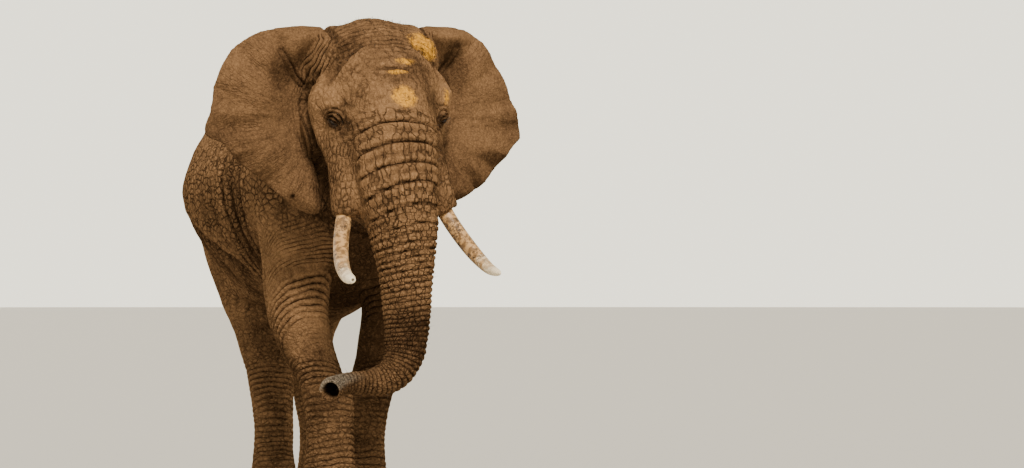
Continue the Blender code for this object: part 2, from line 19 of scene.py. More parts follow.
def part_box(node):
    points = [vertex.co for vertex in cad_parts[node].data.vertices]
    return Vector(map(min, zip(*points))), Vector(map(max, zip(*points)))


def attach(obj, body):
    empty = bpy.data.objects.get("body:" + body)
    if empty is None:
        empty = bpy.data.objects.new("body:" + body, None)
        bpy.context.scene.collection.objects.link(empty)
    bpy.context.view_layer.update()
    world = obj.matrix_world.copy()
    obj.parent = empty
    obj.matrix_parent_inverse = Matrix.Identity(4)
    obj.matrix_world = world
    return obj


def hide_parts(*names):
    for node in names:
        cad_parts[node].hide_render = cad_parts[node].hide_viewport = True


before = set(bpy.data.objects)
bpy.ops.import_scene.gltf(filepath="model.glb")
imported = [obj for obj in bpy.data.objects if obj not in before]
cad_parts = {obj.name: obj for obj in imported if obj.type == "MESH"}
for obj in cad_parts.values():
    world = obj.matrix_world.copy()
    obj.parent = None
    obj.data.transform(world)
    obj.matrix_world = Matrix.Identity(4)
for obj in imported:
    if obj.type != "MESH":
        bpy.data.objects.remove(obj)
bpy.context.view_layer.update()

# ---- Driving dimensions ------------------------------------------------------------------------
CROWN_HEIGHT = 3.10
HEAD_TURN = 9.0  # degrees that the head is turned to the bull's left
HEAD_TILT = 0.045  # and how fast it rises to that side
NECK_PIVOT = Vector((0.0, -1.20, 0.0))  # the head turns about a vertical line through here
BULK_VOXEL = 0.022  # grain of the first fusing, of trunk, torso and legs
BULK_SMOOTHING = 14
SKIN_VOXEL = 0.0095  # grain of the skin before it is folded
SKIN_SMOOTHING = 4
SKIN_TRIANGLES = 196000  # what is left of the skin once it is thinned
BODY_TRIANGLES = 82000  # and of those, what the plain body behind the head may keep
RING_POINTS = 28
SIDES = {"left": 1.0, "right": -1.0}
EYE_RADIUS = 0.024
EYE_SEAT = Vector((0.350, -1.783, 2.443))
EYE_HALF_LENGTH = 0.028  # of the slit between the lids
EYE_HALF_HEIGHT = 0.0085
EYE_SLANT = 36.0  # degrees that the slit falls towards the trunk
EYE_FRONTWARD = 0.30  # how far the eye looks ahead rather than out
AROUND_EYE, BY_EYE = 0.15, 0.075  # radii of the skin that is refined once and twice round an eye
SOCKET_REACH = 0.14  # how far the lids and their folds reach from the middle of the eye
FIRST_RING = 0.622  # how far down the trunk line the first crease lies
RING_RUNS = (0.62, 1.17, 1.40, 1.60, 1.90, 2.70)  # down the trunk, with the rings' spacing at each
RING_SPACINGS = (0.0625, 0.0600, 0.0460, 0.0340, 0.0300, 0.0220)
RING_TILT = 0.09  # the creases stand higher on the left
RING_DROOP = 0.020  # how fast the creases of the face fall away to the sides
ARM_DROOP = 0.075  # how fast the creases of a leg fall away from its front
CREASE_WIDTH = 0.011  # half the width of a crease at most, and as a share of its spacing
CREASE_SHARE = 0.24
SWELL_SHARE, SWELL_MOST = 0.42, 0.15  # how far a fold swells, of its depth and of its spacing
SINK_SHARE = 0.80  # and how far its crease sinks
# routes over the head, as reach from its middle and height, and of the barrel, as Y and height
TEMPLE_RIDGE = [(0.170, 2.900), (0.247, 2.839), (0.282, 2.796), (0.312, 2.754), (0.340, 2.705)]
FOREHEAD_CREASE = [(-0.110, 2.752), (-0.040, 2.757), (0.065, 2.753), (0.160, 2.727)]
CROWN_NOTCH = [(0.296, 3.060), (0.305, 3.000), (0.350, 2.955), (0.384, 2.870)]
EAR_FOLD = [(0.583, 2.900), (0.556, 2.850), (0.512, 2.790), (0.474, 2.733), (0.436, 2.694)]
BARREL_FOLD = [(0.75, 1.960), (0.37, 1.800), (0.17, 1.700), (-0.05, 1.600), (-0.22, 1.470)]
NOSE_FURROW = [(0.296, 2.440), (0.292, 2.320), (0.288, 2.190), (0.280, 2.070), (0.258, 1.930)]
MOUTH = [(-1.50, 2.010), (-1.62, 1.955), (-1.72, 1.900), (-1.82, 1.845)]  # Y and height
TORN_HOLE = (-0.525, -1.511, 2.005)  # in the right ear
# where the ears leave the head: reach at each height
EAR_ROOT_HEIGHTS = (2.08, 2.19, 2.29, 2.37, 2.44, 2.52, 2.59, 2.67, 2.73, 2.80, 2.87, 2.96)
EAR_ROOT_REACHES = (0.330, 0.368, 0.400, 0.424, 0.444, 0.458, 0.460, 0.434, 0.400, 0.368, 0.342, 0.292)
EAR_HUB = (0.30, 2.45)  # reach and height that the ribs of the ears fan out from
TUSK_SIDES = 28
BROKEN_TIP = 0.019  # radius where the right tusk has broken off
TIP_TAPER = 0.45  # how much thinner the whole point is than the tusk would be
NAILS = {"foreleg": (4, 112.0), "hindleg": (3, 84.0)}  # each foot's count, and their spread in degrees
NAIL_WIDTH, NAIL_THICKNESS, NAIL_TALL = 0.108, 0.042, 0.094
NAIL_HEIGHT = 0.056
TAIL_HAIRS, LASHES = 420, 34
CROWN_BRISTLES, LIP_BRISTLES, TRUNK_BRISTLES = 520, 150, 260
HEAD_MAP = (0.0, -1.45, 2.2, 0.85)  # middle and half height of the unwrap that places hairs
PATCH = 0.003  # how wide each hair's patch is on its map
RING_SEED, HAIR_SEED = 7, 11

CAMERA_AZIMUTH, CAMERA_DISTANCE, CAMERA_HEIGHT = -10.0, 20.0, 1.40
CAMERA_YAW, CAMERA_PITCH = 3.612, 1.108  # degrees to the right and up
LENS = 105.47
FLOOR_RADIUS = 260.0
FLOOR_COLOUR = (0.58, 0.56, 0.51)
# name, heading from the bull towards it, spread in degrees, power and colour of each lamp
LAMPS = (
    ("key", (-0.05, -0.72, 0.88), 12.0, 4.8, (1.0, 0.93, 0.82)),
    ("back", (-0.30, 0.85, 0.55), 30.0, 0.8, (1.0, 0.97, 0.92)),
)
SKY_COLOUR, SKY_LOW, SKY_HIGH = (1.0, 0.945, 0.77), 2.15, 0.24

# colours, as the light's own shares of red, green and blue
HIDE_DARK = (0.058, 0.031, 0.015)
HIDE_LIGHT = (0.302, 0.168, 0.082)
# painted shade, which darkens cracks, creases, slits, nostrils and gaps
PAINTED_SHADE_BROWN = (0.015, 0.008, 0.004)
OCHRE_DUST = (0.860, 0.400, 0.045)
IVORY_WHITE, IVORY_STAIN = (0.93, 0.79, 0.56), (0.52, 0.30, 0.125)
TUSK_GRIME, TUSK_PIT_AND_SHADE = (0.16, 0.085, 0.035), (0.050, 0.032, 0.018)
TIP_GREY = (0.330, 0.280, 0.215)
NAIL_BROWN, NAIL_PALE = (0.20, 0.13, 0.075), (0.52, 0.42, 0.30)
PUPIL, IRIS_DARK, IRIS_AMBER = (0.002, 0.001, 0.001), (0.020, 0.008, 0.003), (0.090, 0.040, 0.012)
EYE_WHITE = (0.045, 0.026, 0.018)
HAIR_BLACK, HAIR_BROWN = (0.010, 0.007, 0.005), (0.050, 0.034, 0.022)

# ---- Torso: one row for each station from the chest to the rump --------------------------------
# y, height of the back, height of the belly, half width, height of the widest line, squareness
TORSO = (
    (-1.28, 2.70, 1.74, 0.36, 2.20, 1.90),
    (-1.05, 2.92, 1.50, 0.50, 2.16, 1.90),
    (-0.72, 3.02, 1.34, 0.62, 2.12, 1.80),
    (-0.30, 3.00, 1.26, 0.75, 2.10, 1.62),
    (0.15, 2.95, 1.18, 0.84, 2.06, 1.52),
    (0.60, 2.97, 1.16, 0.86, 2.08, 1.50),
    (0.98, 2.98, 1.27, 0.80, 2.14, 1.55),
    (1.30, 2.86, 1.52, 0.66, 2.20, 1.70),
    (1.56, 2.62, 1.78, 0.46, 2.20, 1.90),
    (1.72, 2.36, 1.96, 0.22, 2.16, 2.00),
)

# ---- Legs: x, y, height, half width, half depth, from inside the body down to the sole ---------
LEGS = {
    "foreleg_right": (
        (-0.38, -0.76, 2.35, 0.18, 0.34),
        (-0.355, -0.82, 2.02, 0.215, 0.33),
        (-0.325, -0.90, 1.67, 0.225, 0.29),
        (-0.335, -0.95, 1.40, 0.205, 0.235),
        (-0.325, -1.00, 1.20, 0.192, 0.200),
        (-0.276, -1.05, 1.02, 0.172, 0.182),
        (-0.215, -1.10, 0.87, 0.156, 0.172),
        (-0.172, -1.14, 0.75, 0.158, 0.165),
        (-0.163, -1.19, 0.55, 0.156, 0.160),
        (-0.168, -1.215, 0.34, 0.160, 0.172),
        (-0.160, -1.235, 0.14, 0.208, 0.220),
        (-0.160, -1.240, 0.04, 0.218, 0.232),
        (-0.160, -1.240, -0.08, 0.218, 0.232),
    ),
    "foreleg_left": (
        (0.38, -0.76, 2.35, 0.18, 0.34),
        (0.355, -0.78, 2.02, 0.215, 0.33),
        (0.325, -0.78, 1.67, 0.225, 0.29),
        (0.325, -0.76, 1.40, 0.205, 0.235),
        (0.305, -0.73, 1.20, 0.185, 0.200),
        (0.265, -0.70, 1.02, 0.168, 0.182),
        (0.228, -0.67, 0.87, 0.154, 0.172),
        (0.200, -0.64, 0.75, 0.150, 0.165),
        (0.168, -0.57, 0.55, 0.146, 0.160),
        (0.163, -0.53, 0.34, 0.156, 0.172),
        (0.145, -0.52, 0.14, 0.208, 0.220),
        (0.145, -0.52, 0.04, 0.218, 0.232),
        (0.145, -0.52, -0.08, 0.218, 0.232),
    ),
    "hindleg_right": (
        (-0.40, 1.10, 2.45, 0.26, 0.42),
        (-0.41, 1.08, 2.10, 0.30, 0.46),
        (-0.37, 1.02, 1.75, 0.300, 0.42),
        (-0.315, 0.95, 1.42, 0.262, 0.320),
        (-0.240, 0.94, 1.10, 0.205, 0.235),
        (-0.190, 0.99, 0.78, 0.158, 0.180),
        (-0.165, 1.03, 0.48, 0.136, 0.150),
        (-0.164, 1.02, 0.26, 0.145, 0.165),
        (-0.160, 1.00, 0.11, 0.168, 0.205),
        (-0.160, 1.00, 0.04, 0.174, 0.212),
        (-0.160, 1.00, -0.08, 0.174, 0.212),
    ),
    "hindleg_left": (
        (0.40, 1.12, 2.45, 0.26, 0.42),
        (0.41, 1.14, 2.10, 0.30, 0.46),
        (0.36, 1.16, 1.75, 0.290, 0.42),
        (0.25, 1.24, 1.42, 0.235, 0.320),
        (0.15, 1.36, 1.10, 0.168, 0.225),
        (0.17, 1.44, 0.78, 0.148, 0.175),
        (0.222, 1.48, 0.48, 0.134, 0.150),
        (0.244, 1.49, 0.26, 0.143, 0.163),
        (0.250, 1.48, 0.11, 0.168, 0.205),
        (0.250, 1.48, 0.04, 0.174, 0.212),
        (0.250, 1.48, -0.08, 0.174, 0.212),
    ),
}

# ---- Forehead and trunk: x, y, height, half width, depth in front of the line and behind it ----
TRUNK = (
    (0.00, -1.50, 2.90, 0.300, 0.16, 0.20),
    (0.00, -1.63, 2.78, 0.325, 0.19, 0.20),
    (-0.005, -1.74, 2.61, 0.318, 0.21, 0.20),
    (-0.015, -1.82, 2.42, 0.298, 0.225, 0.20),
    (-0.020, -1.92, 2.20, 0.278, 0.225, 0.19),
    (-0.016, -2.00, 1.98, 0.254, 0.210, 0.18),
    (-0.006, -2.05, 1.77, 0.212, 0.188, 0.165),
    (0.00, -2.085, 1.56, 0.175, 0.165, 0.148),
    (0.00, -2.11, 1.36, 0.152, 0.150, 0.135),
    (-0.005, -2.125, 1.17, 0.139, 0.138, 0.125),
    (-0.035, -2.14, 1.027, 0.128, 0.128, 0.112),
    (-0.100, -2.155, 0.925, 0.110, 0.110, 0.098),
    (-0.200, -2.17, 0.881, 0.092, 0.086, 0.080),
    (-0.310, -2.185, 0.876, 0.076, 0.071, 0.066),
    (-0.410, -2.205, 0.880, 0.070, 0.063, 0.062),
    (-0.495, -2.245, 0.870, 0.071, 0.065, 0.066),
    (-0.560, -2.320, 0.846, 0.080, 0.074, 0.075),
)

# ---- Tusks: x, y, height, radius, from the root in the skull to the point ----------------------
TUSK = (
    (0.290, -1.780, 2.030, 0.046),
    (0.335, -1.880, 1.865, 0.048),
    (0.388, -2.000, 1.722, 0.047),
    (0.430, -2.150, 1.602, 0.044),
    (0.452, -2.310, 1.522, 0.038),
    (0.456, -2.440, 1.495, 0.027),
    (0.456, -2.490, 1.492, 0.011),
)
# how far out each tusk stands from that line, at its root and at its point
TUSK_SWAY = {1.0: (0.005, -0.010), -1.0: (-0.024, 0.024)}

# ---- Small tools -------------------------------------------------------------------------------
def smooth_through(rows, steps):
    """Rows of numbers, joined by a smooth curve with so many steps from each row to the next."""
    rows = np.array(rows, float)
    padded = np.vstack([2 * rows[0] - rows[1], rows, 2 * rows[-1] - rows[-2]])
    out = []
    for before, start, end, after in zip(padded, padded[1:], padded[2:], padded[3:]):
        slope = end - before
        bend = 2 * before - 5 * start + 4 * end - after
        twist = 3 * start - before - 3 * end + after
        for t in np.arange(steps) / steps:
            out.append(0.5 * (2 * start + slope * t + bend * t**2 + twist * t**3))
    return np.array(out + [rows[-1]])


def rounded(angle, power):
    """Cosine and sine of a superellipse: power 2 is round, more is squarer, less is pinched."""
    c, s = math.cos(angle), math.sin(angle)
    return math.copysign(abs(c) ** (2 / power), c), math.copysign(abs(s) ** (2 / power), s)


def loft(mesh, rings):
    """A closed body through rings that have the same number of points."""
    loops = []
    for ring in rings:
        made = bmesh.ops.create_circle(mesh, segments=len(ring), radius=1.0)["verts"]
        for vert, point in zip(made, ring):
            vert.co = point
        loops.append(list({edge for vert in made for edge in vert.link_edges}))
    for near, far in zip(loops, loops[1:]):
        bmesh.ops.bridge_loops(mesh, edges=near + far)
    for end in (loops[0], loops[-1]):
        bmesh.ops.contextual_create(mesh, geom=end)


def ball(mesh, centre, radii, turn=(0.0, 0.0, 0.0)):
    """An ellipsoid of three radii, turned by three angles in degrees."""
    angles = Euler([math.radians(a) for a in turn])
    place = Matrix.LocRotScale(Vector(centre), angles, Vector(radii))
    bmesh.ops.create_icosphere(mesh, subdivisions=4, radius=1.0, matrix=place)


def limb(mesh, start, end, start_radius, end_radius):
    """A tapering round-ended limb from one point to another."""
    start, end = Vector(start), Vector(end)
    turn = (end - start).to_track_quat("Z", "Y").to_matrix().to_4x4()
    place = Matrix.Translation((start + end) / 2) @ turn
    bmesh.ops.create_cone(
        mesh,
        cap_ends=True,
        segments=RING_POINTS,
        radius1=start_radius,
        radius2=end_radius,
        depth=(end - start).length,
        matrix=place,
    )
    ball(mesh, start, [start_radius] * 3)
    ball(mesh, end, [end_radius] * 3)


def mirrored(point, side):
    """A point of the left side, or its twin on the right."""
    return (point[0] * side, point[1], point[2])


def object_of(name, mesh):
    """A scene object that holds a bmesh, which is then freed."""
    bmesh.ops.recalc_face_normals(mesh, faces=mesh.faces)
    data = bpy.data.meshes.new(name)
    mesh.to_mesh(data)
    mesh.free()
    made = bpy.data.objects.new(name, data)
    bpy.context.scene.collection.objects.link(made)
    return made


def applied(target, kind, **settings):
    """Puts a modifier on the object and applies it."""
    modifier = target.modifiers.new(kind.lower(), kind)
    for key, value in settings.items():
        setattr(modifier, key, value)
    graph = bpy.context.evaluated_depsgraph_get()
    done = bpy.data.meshes.new_from_object(target.evaluated_get(graph))
    target.modifiers.clear()
    old, target.data = target.data, done
    bpy.data.meshes.remove(old)
    return target


def removed(*helpers):
    """Takes helper objects out of the scene."""
    for helper in helpers:
        data = helper.data
        bpy.data.objects.remove(helper)
        bpy.data.meshes.remove(data)


def fused(name, pieces, voxel, smoothing):
    """Overlapping bodies as one skin of fine even faces, with its creases rounded."""
    mesh = bmesh.new()
    for piece in pieces:
        mesh.from_mesh(piece.data)
    whole = object_of(name, mesh)
    removed(*pieces)
    applied(whole, "REMESH", mode="VOXEL", voxel_size=voxel, adaptivity=0.0)
    applied(whole, "SMOOTH", factor=0.5, iterations=smoothing)
    return whole


# ---- Flesh -------------------------------------------------------------------------------------
def torso():
    """Barrel, shoulders and hips."""
    mesh = bmesh.new()
    rings = []
    for y, back, belly, half_width, widest, squareness in smooth_through(TORSO, 3):
        ring = []
        for k in range(RING_POINTS * 2):
            angle = math.tau * k / (RING_POINTS * 2)
            c, s = rounded(angle, squareness)
            reach = back - widest if s > 0 else widest - belly
            ring.append((half_width * c, y, widest + reach * s))
        rings.append(ring)
    loft(mesh, rings)
    for side in SIDES.values():
        # shoulder blade, upper arm, point of the hip, haunch and the fold of the flank
        ball(mesh, mirrored((0.35, -0.70, 2.30), side), (0.22, 0.36, 0.50), (8, 12 * side, 0))
        ball(mesh, mirrored((0.345, -0.88, 1.88), side), (0.20, 0.28, 0.40), (-14, 0, 0))
        ball(mesh, mirrored((0.34, 0.92, 2.58), side), (0.24, 0.40, 0.24), (0, 30 * side, 0))
        ball(mesh, mirrored((0.43, 1.12, 2.14), side), (0.28, 0.44, 0.50), (-10, 0, 0))
        ball(mesh, mirrored((0.36, 0.70, 1.66), side), (0.20, 0.36, 0.32), (28, 0, 0))
    # brisket between the forelegs, and the sheath under the rear of the belly
    limb(mesh, (0.0, -1.14, 2.00), (0.0, -0.78, 1.60), 0.27, 0.22)
    ball(mesh, (0.0, 0.72, 1.22), (0.13, 0.34, 0.13), (-10, 0, 0))
    return object_of("torso_mass", mesh)


def leg(name):
    """One leg, from inside the body down to below the sole."""
    mesh = bmesh.new()
    rings = []
    for x, y, height, half_width, half_depth in smooth_through(LEGS[name], 3):
        turns = [math.tau * k / RING_POINTS for k in range(RING_POINTS)]
        rings.append(
            [(x + half_width * math.cos(a), y + half_depth * math.sin(a), height) for a in turns]
        )
    loft(mesh, rings)
    return object_of(name + "_mass", mesh)


def trunk_line(steps):
    """Stations down the trunk: its middle, directions to the side and the front, and the row."""
    rows = smooth_through(TRUNK, steps)
    centres = [Vector(row[:3]) for row in rows]
    side = Vector((1.0, 0.0, 0.0))
    heading = (centres[1] - centres[0]).normalized()
    stations = []
    for k, (centre, row) in enumerate(zip(centres, rows)):
        ahead = centres[min(k + 1, len(rows) - 1)] - centres[max(k - 1, 0)]
        ahead.normalize()
        side = (heading.rotation_difference(ahead) @ side).normalized()
        heading = ahead
        stations.append((centre, side, heading.cross(side).normalized(), row))
    return stations


def trunk_rings():
    """Rings of the forehead and trunk, each square to the line that they follow."""
    rings = []
    for centre, side, front, row in trunk_line(3):
        ring = []
        for j in range(RING_POINTS):
            angle = math.tau * j / RING_POINTS
            c, s = rounded(angle, 2.15)
            depth = row[4] if s > 0 else row[5]
            ring.append(centre + side * (row[3] * c) + front * (depth * s))
        rings.append(ring)
    return rings


def head():
    """Skull, face, jaw and trunk, before the head is turned on the neck."""
    mesh = bmesh.new()
    loft(mesh, trunk_rings())
    ball(mesh, (0.0, -1.46, 2.70), (0.40, 0.36, CROWN_HEIGHT - 2.70))
    ball(mesh, (0.0, -1.40, 2.46), (0.42, 0.40, 0.50))
    for side in SIDES.values():
        # crown lobe, temple, brow, eye socket, cheekbone, tusk sheath and the corner of the jaw
        ball(mesh, mirrored((0.225, -1.46, 2.81), side), (0.200, 0.28, 0.250))
        ball(mesh, mirrored((0.315, -1.53, 2.56), side), (0.135, 0.25, 0.24))
        ball(mesh, mirrored((0.320, -1.68, 2.535), side), (0.115, 0.13, 0.095), (0, 0, -24 * side))
        ball(mesh, mirrored((0.285, -1.73, 2.430), side), (0.088, 0.14, 0.090))
        ball(mesh, mirrored((0.270, -1.62, 2.30), side), (0.115, 0.24, 0.24))
        sheath = mirrored((0.19, -1.72, 2.34), side), mirrored((0.295, -1.865, 1.945), side)
        limb(mesh, *sheath, 0.170, 0.108)
        ball(mesh, mirrored((0.20, -1.48, 2.08), side), (0.15, 0.24, 0.22))
        # the cheekbone's arch, widest just before the ear
        ball(mesh, mirrored((0.362, -1.51, 2.47), side), (0.105, 0.15, 0.23))
    # the jaw tapers forward to the hanging lower lip
    limb(mesh, (0.0, -1.48, 2.02), (0.0, -1.68, 1.87), 0.21, 0.13)
    limb(mesh, (0.0, -1.68, 1.87), (0.0, -1.79, 1.75), 0.12, 0.05)
    bmesh.ops.rotate(mesh, verts=mesh.verts, cent=NECK_PIVOT, matrix=head_turn())
    # the neck runs back from the turned skull into the shoulders
    limb(mesh, (0.02, -1.40, 2.44), (0.0, -0.98, 2.36), 0.385, 0.46)
    limb(mesh, (0.01, -1.38, 2.18), (0.0, -1.00, 2.02), 0.28, 0.36)
    return object_of("head_mass", mesh)


def head_turn():
    """The turn and tilt of the head on the neck, about the pivot."""
    tilt = Matrix.Identity(4)
    tilt[2][0] = HEAD_TILT
    return Matrix.Rotation(math.radians(HEAD_TURN), 4, "Z") @ tilt


def turned(point):
    """Where a point of the straight head lies once the head is turned."""
    return head_turn() @ (Vector(point) - NECK_PIVOT) + NECK_PIVOT


# ---- Ears --------------------------------------------------------------------------------------
# free edge of the left and of the right ear, from the top of the root round to its foot:
# reach from the middle of the head, height
EAR_EDGES = {
    1.0: (
        (0.280, 3.015),
        (0.363, 3.044),
        (0.510, 3.042),
        (0.651, 3.023),
        (0.754, 2.977),
        (0.829, 2.900),
        (0.890, 2.807),
        (0.948, 2.692),
        (1.006, 2.551),
        (1.053, 2.360),
        (0.990, 2.280),
        (0.906, 2.181),
        (0.830, 2.099),
        (0.753, 2.032),
        (0.640, 1.970),
        (0.500, 1.915),
        (0.390, 1.890),
    ),
    -1.0: (
        (0.258, 3.020),
        (0.316, 3.048),
        (0.447, 3.058),
        (0.597, 3.050),
        (0.716, 3.020),
        (0.824, 2.955),
        (0.922, 2.848),
        (0.968, 2.736),
        (0.990, 2.600),
        (1.034, 2.412),
        (0.935, 2.345),
        (0.880, 2.270),
        (0.776, 2.173),
        (0.690, 2.110),
        (0.567, 1.989),
        (0.418, 1.893),
        (0.341, 1.895),
    ),
}
# the root, from the crown down to the corner of the jaw: reach, distance along Y, height
EAR_ROOT = (
    (0.250, -1.490, 2.985),
    (0.320, -1.470, 2.880),
    (0.360, -1.440, 2.720),
    (0.360, -1.420, 2.550),
    (0.340, -1.430, 2.380),
    (0.315, -1.460, 2.200),
    (0.300, -1.490, 2.040),
    (0.300, -1.500, 1.920),
)
EAR_EDGE_Y = (-1.50, -1.36, -1.36, -1.42, -1.50)  # how far back the free edge stands, at even steps
EAR_STEPS = 18
EAR_THICKNESS = 0.028


def ear_relief(across, down):
    """How far the ear's face is pushed back, from root to free edge and from crown to lobe."""
    bulge = -0.10 * math.sin(math.pi * across) * (1 - 0.4 * down)
    hollow = 0.05 * math.exp(-(((across - 0.26) / 0.16) ** 2) - ((down - 0.30) / 0.22) ** 2)
    ripple = 0.014 * math.sin(down * 26.0 + 1.0) * across**3
    return bulge + hollow + ripple


def ear(side):
    """One ear: a thin bent plate from its root to its free edge."""
    edge = smooth_through(EAR_EDGES[side], 3)
    steps = np.linspace(0, 1, len(edge))
    root = smooth_through(EAR_ROOT, 8)
    root = np.array([np.interp(steps, np.linspace(0, 1, len(root)), column) for column in root.T]).T
    edge_y = smooth_through([(y,) for y in EAR_EDGE_Y], 8)[:, 0]
    edge_y = np.interp(steps, np.linspace(0, 1, len(edge_y)), edge_y)
    mesh = bmesh.new()
    grid = []
    for across in np.linspace(0, 1, EAR_STEPS + 1):
        row = []
        for down, near, far, far_y in zip(steps, root, edge, edge_y):
            x = near[0] + (far[0] - near[0]) * across
            y = near[1] + (far_y - near[1]) * across + ear_relief(across, down)
            z = near[2] + (far[1] - near[2]) * across
            row.append(mesh.verts.new((x * side, y, z)))
        grid.append(row)
    for near, far in zip(grid, grid[1:]):
        for k in range(len(edge) - 1):
            mesh.faces.new((near[k], near[k + 1], far[k + 1], far[k]))
    bmesh.ops.recalc_face_normals(mesh, faces=mesh.faces)
    bmesh.ops.solidify(mesh, geom=mesh.faces[:], thickness=EAR_THICKNESS)
    # the gristly root, which swells where the ear leaves the skull
    limb(mesh, mirrored((0.26, -1.44, 2.89), side), mirrored((0.44, -1.44, 2.96), side), 0.10, 0.045)
    limb(mesh, mirrored((0.33, -1.40, 2.72), side), mirrored((0.31, -1.43, 2.10), side), 0.075, 0.06)
    bmesh.ops.rotate(mesh, verts=mesh.verts, cent=NECK_PIVOT, matrix=head_turn())
    return object_of("ear_mass", mesh)


# ---- Tail --------------------------------------------------------------------------------------
# x, y, height, radius
TAIL = (
    (0.00, 1.56, 2.50, 0.120),
    (0.00, 1.75, 2.36, 0.090),
    (0.01, 1.85, 2.08, 0.060),
    (0.02, 1.87, 1.75, 0.043),
    (0.02, 1.86, 1.45, 0.035),
    (0.01, 1.85, 1.20, 0.029),
    (0.00, 1.85, 1.00, 0.026),
)
BRUSH_TOP = 1.06  # the hair of the brush hangs from here


def oval_loft(rows, points):
    """A closed body of level ovals: x, y, height, half width, half depth."""
    mesh = bmesh.new()
    turns = [math.tau * k / points for k in range(points)]
    rings = [[(x + a * math.cos(t), y + b * math.sin(t), z) for t in turns] for x, y, z, a, b in rows]
    loft(mesh, rings)
    return mesh


def tail():
    """The tail without its brush, a little narrower than it is deep."""
    rows = [(x, y, z, radius, 0.85 * radius) for x, y, z, radius in smooth_through(TAIL, 3)]
    return object_of("tail_mass", oval_loft(rows, 16))


# ---- Numbers that vary over the hide -----------------------------------------------------------
def ramp(value, low, high):
    """0 up to the low limit, 1 from the high one, and a smooth step between them."""
    share = np.clip((value - low) / (high - low), 0.0, 1.0)
    return share * share * (3 - 2 * share)


def span(value, low, high, soft):
    """1 between two limits and 0 outside them, with soft edges."""
    return ramp(value, low - soft, low + soft) * (1 - ramp(value, high - soft, high + soft))


def bell(value, middle, width):
    """1 at a middle value, fading smoothly to nothing at about twice a width."""
    return np.exp(-(((value - middle) / width) ** 2))


def spot(points, centre, radii):
    """1 at a centre, fading smoothly to nothing at about twice the radii."""
    return np.exp(-(((points - np.array(centre)) / np.array(radii)) ** 2).sum(axis=1))


def spots(points, table):
    """The sum of some spots, given as the middle, the radii and the height of each."""
    return sum(height * spot(points, centre, radii) for centre, radii, height in table)


def scrambled(cell, salt):
    """A number from 0 to 1 for each whole-numbered cell, the same each time."""
    mix = cell @ np.array((127.1, 311.7, 74.7)) + salt * 53.9
    return np.modf(np.abs(np.sin(mix)) * 43758.5453)[0]


def noise(points, size, salt=0):
    """Smooth noise from -1 to 1, in lumps of about a given size."""
    grid = points / size
    cell = np.floor(grid)
    share = grid - cell
    share = share * share * (3 - 2 * share)
    total = np.zeros(len(points))
    for corner in itertools.product((0, 1), repeat=3):
        weight = np.prod(np.where(np.array(corner) == 1, share, 1 - share), axis=1)
        total += weight * scrambled(cell + corner, salt)
    return 2 * total - 1


def line(points, route, width, axes=(0, 2)):
    """1 along a route of points in a plane, and 0 beyond a given width from it."""
    flat = points[:, axes]
    nearest = np.full(len(points), 9.0)
    for start, end in zip(route, route[1:]):
        start, end = np.array(start), np.array(end)
        along = np.clip((flat - start) @ (end - start) / ((end - start) @ (end - start)), 0, 1)
        away = flat - start - along[:, None] * (end - start)
        nearest = np.minimum(nearest, np.sqrt((away**2).sum(axis=1)))
    return bell(nearest, 0.0, width)


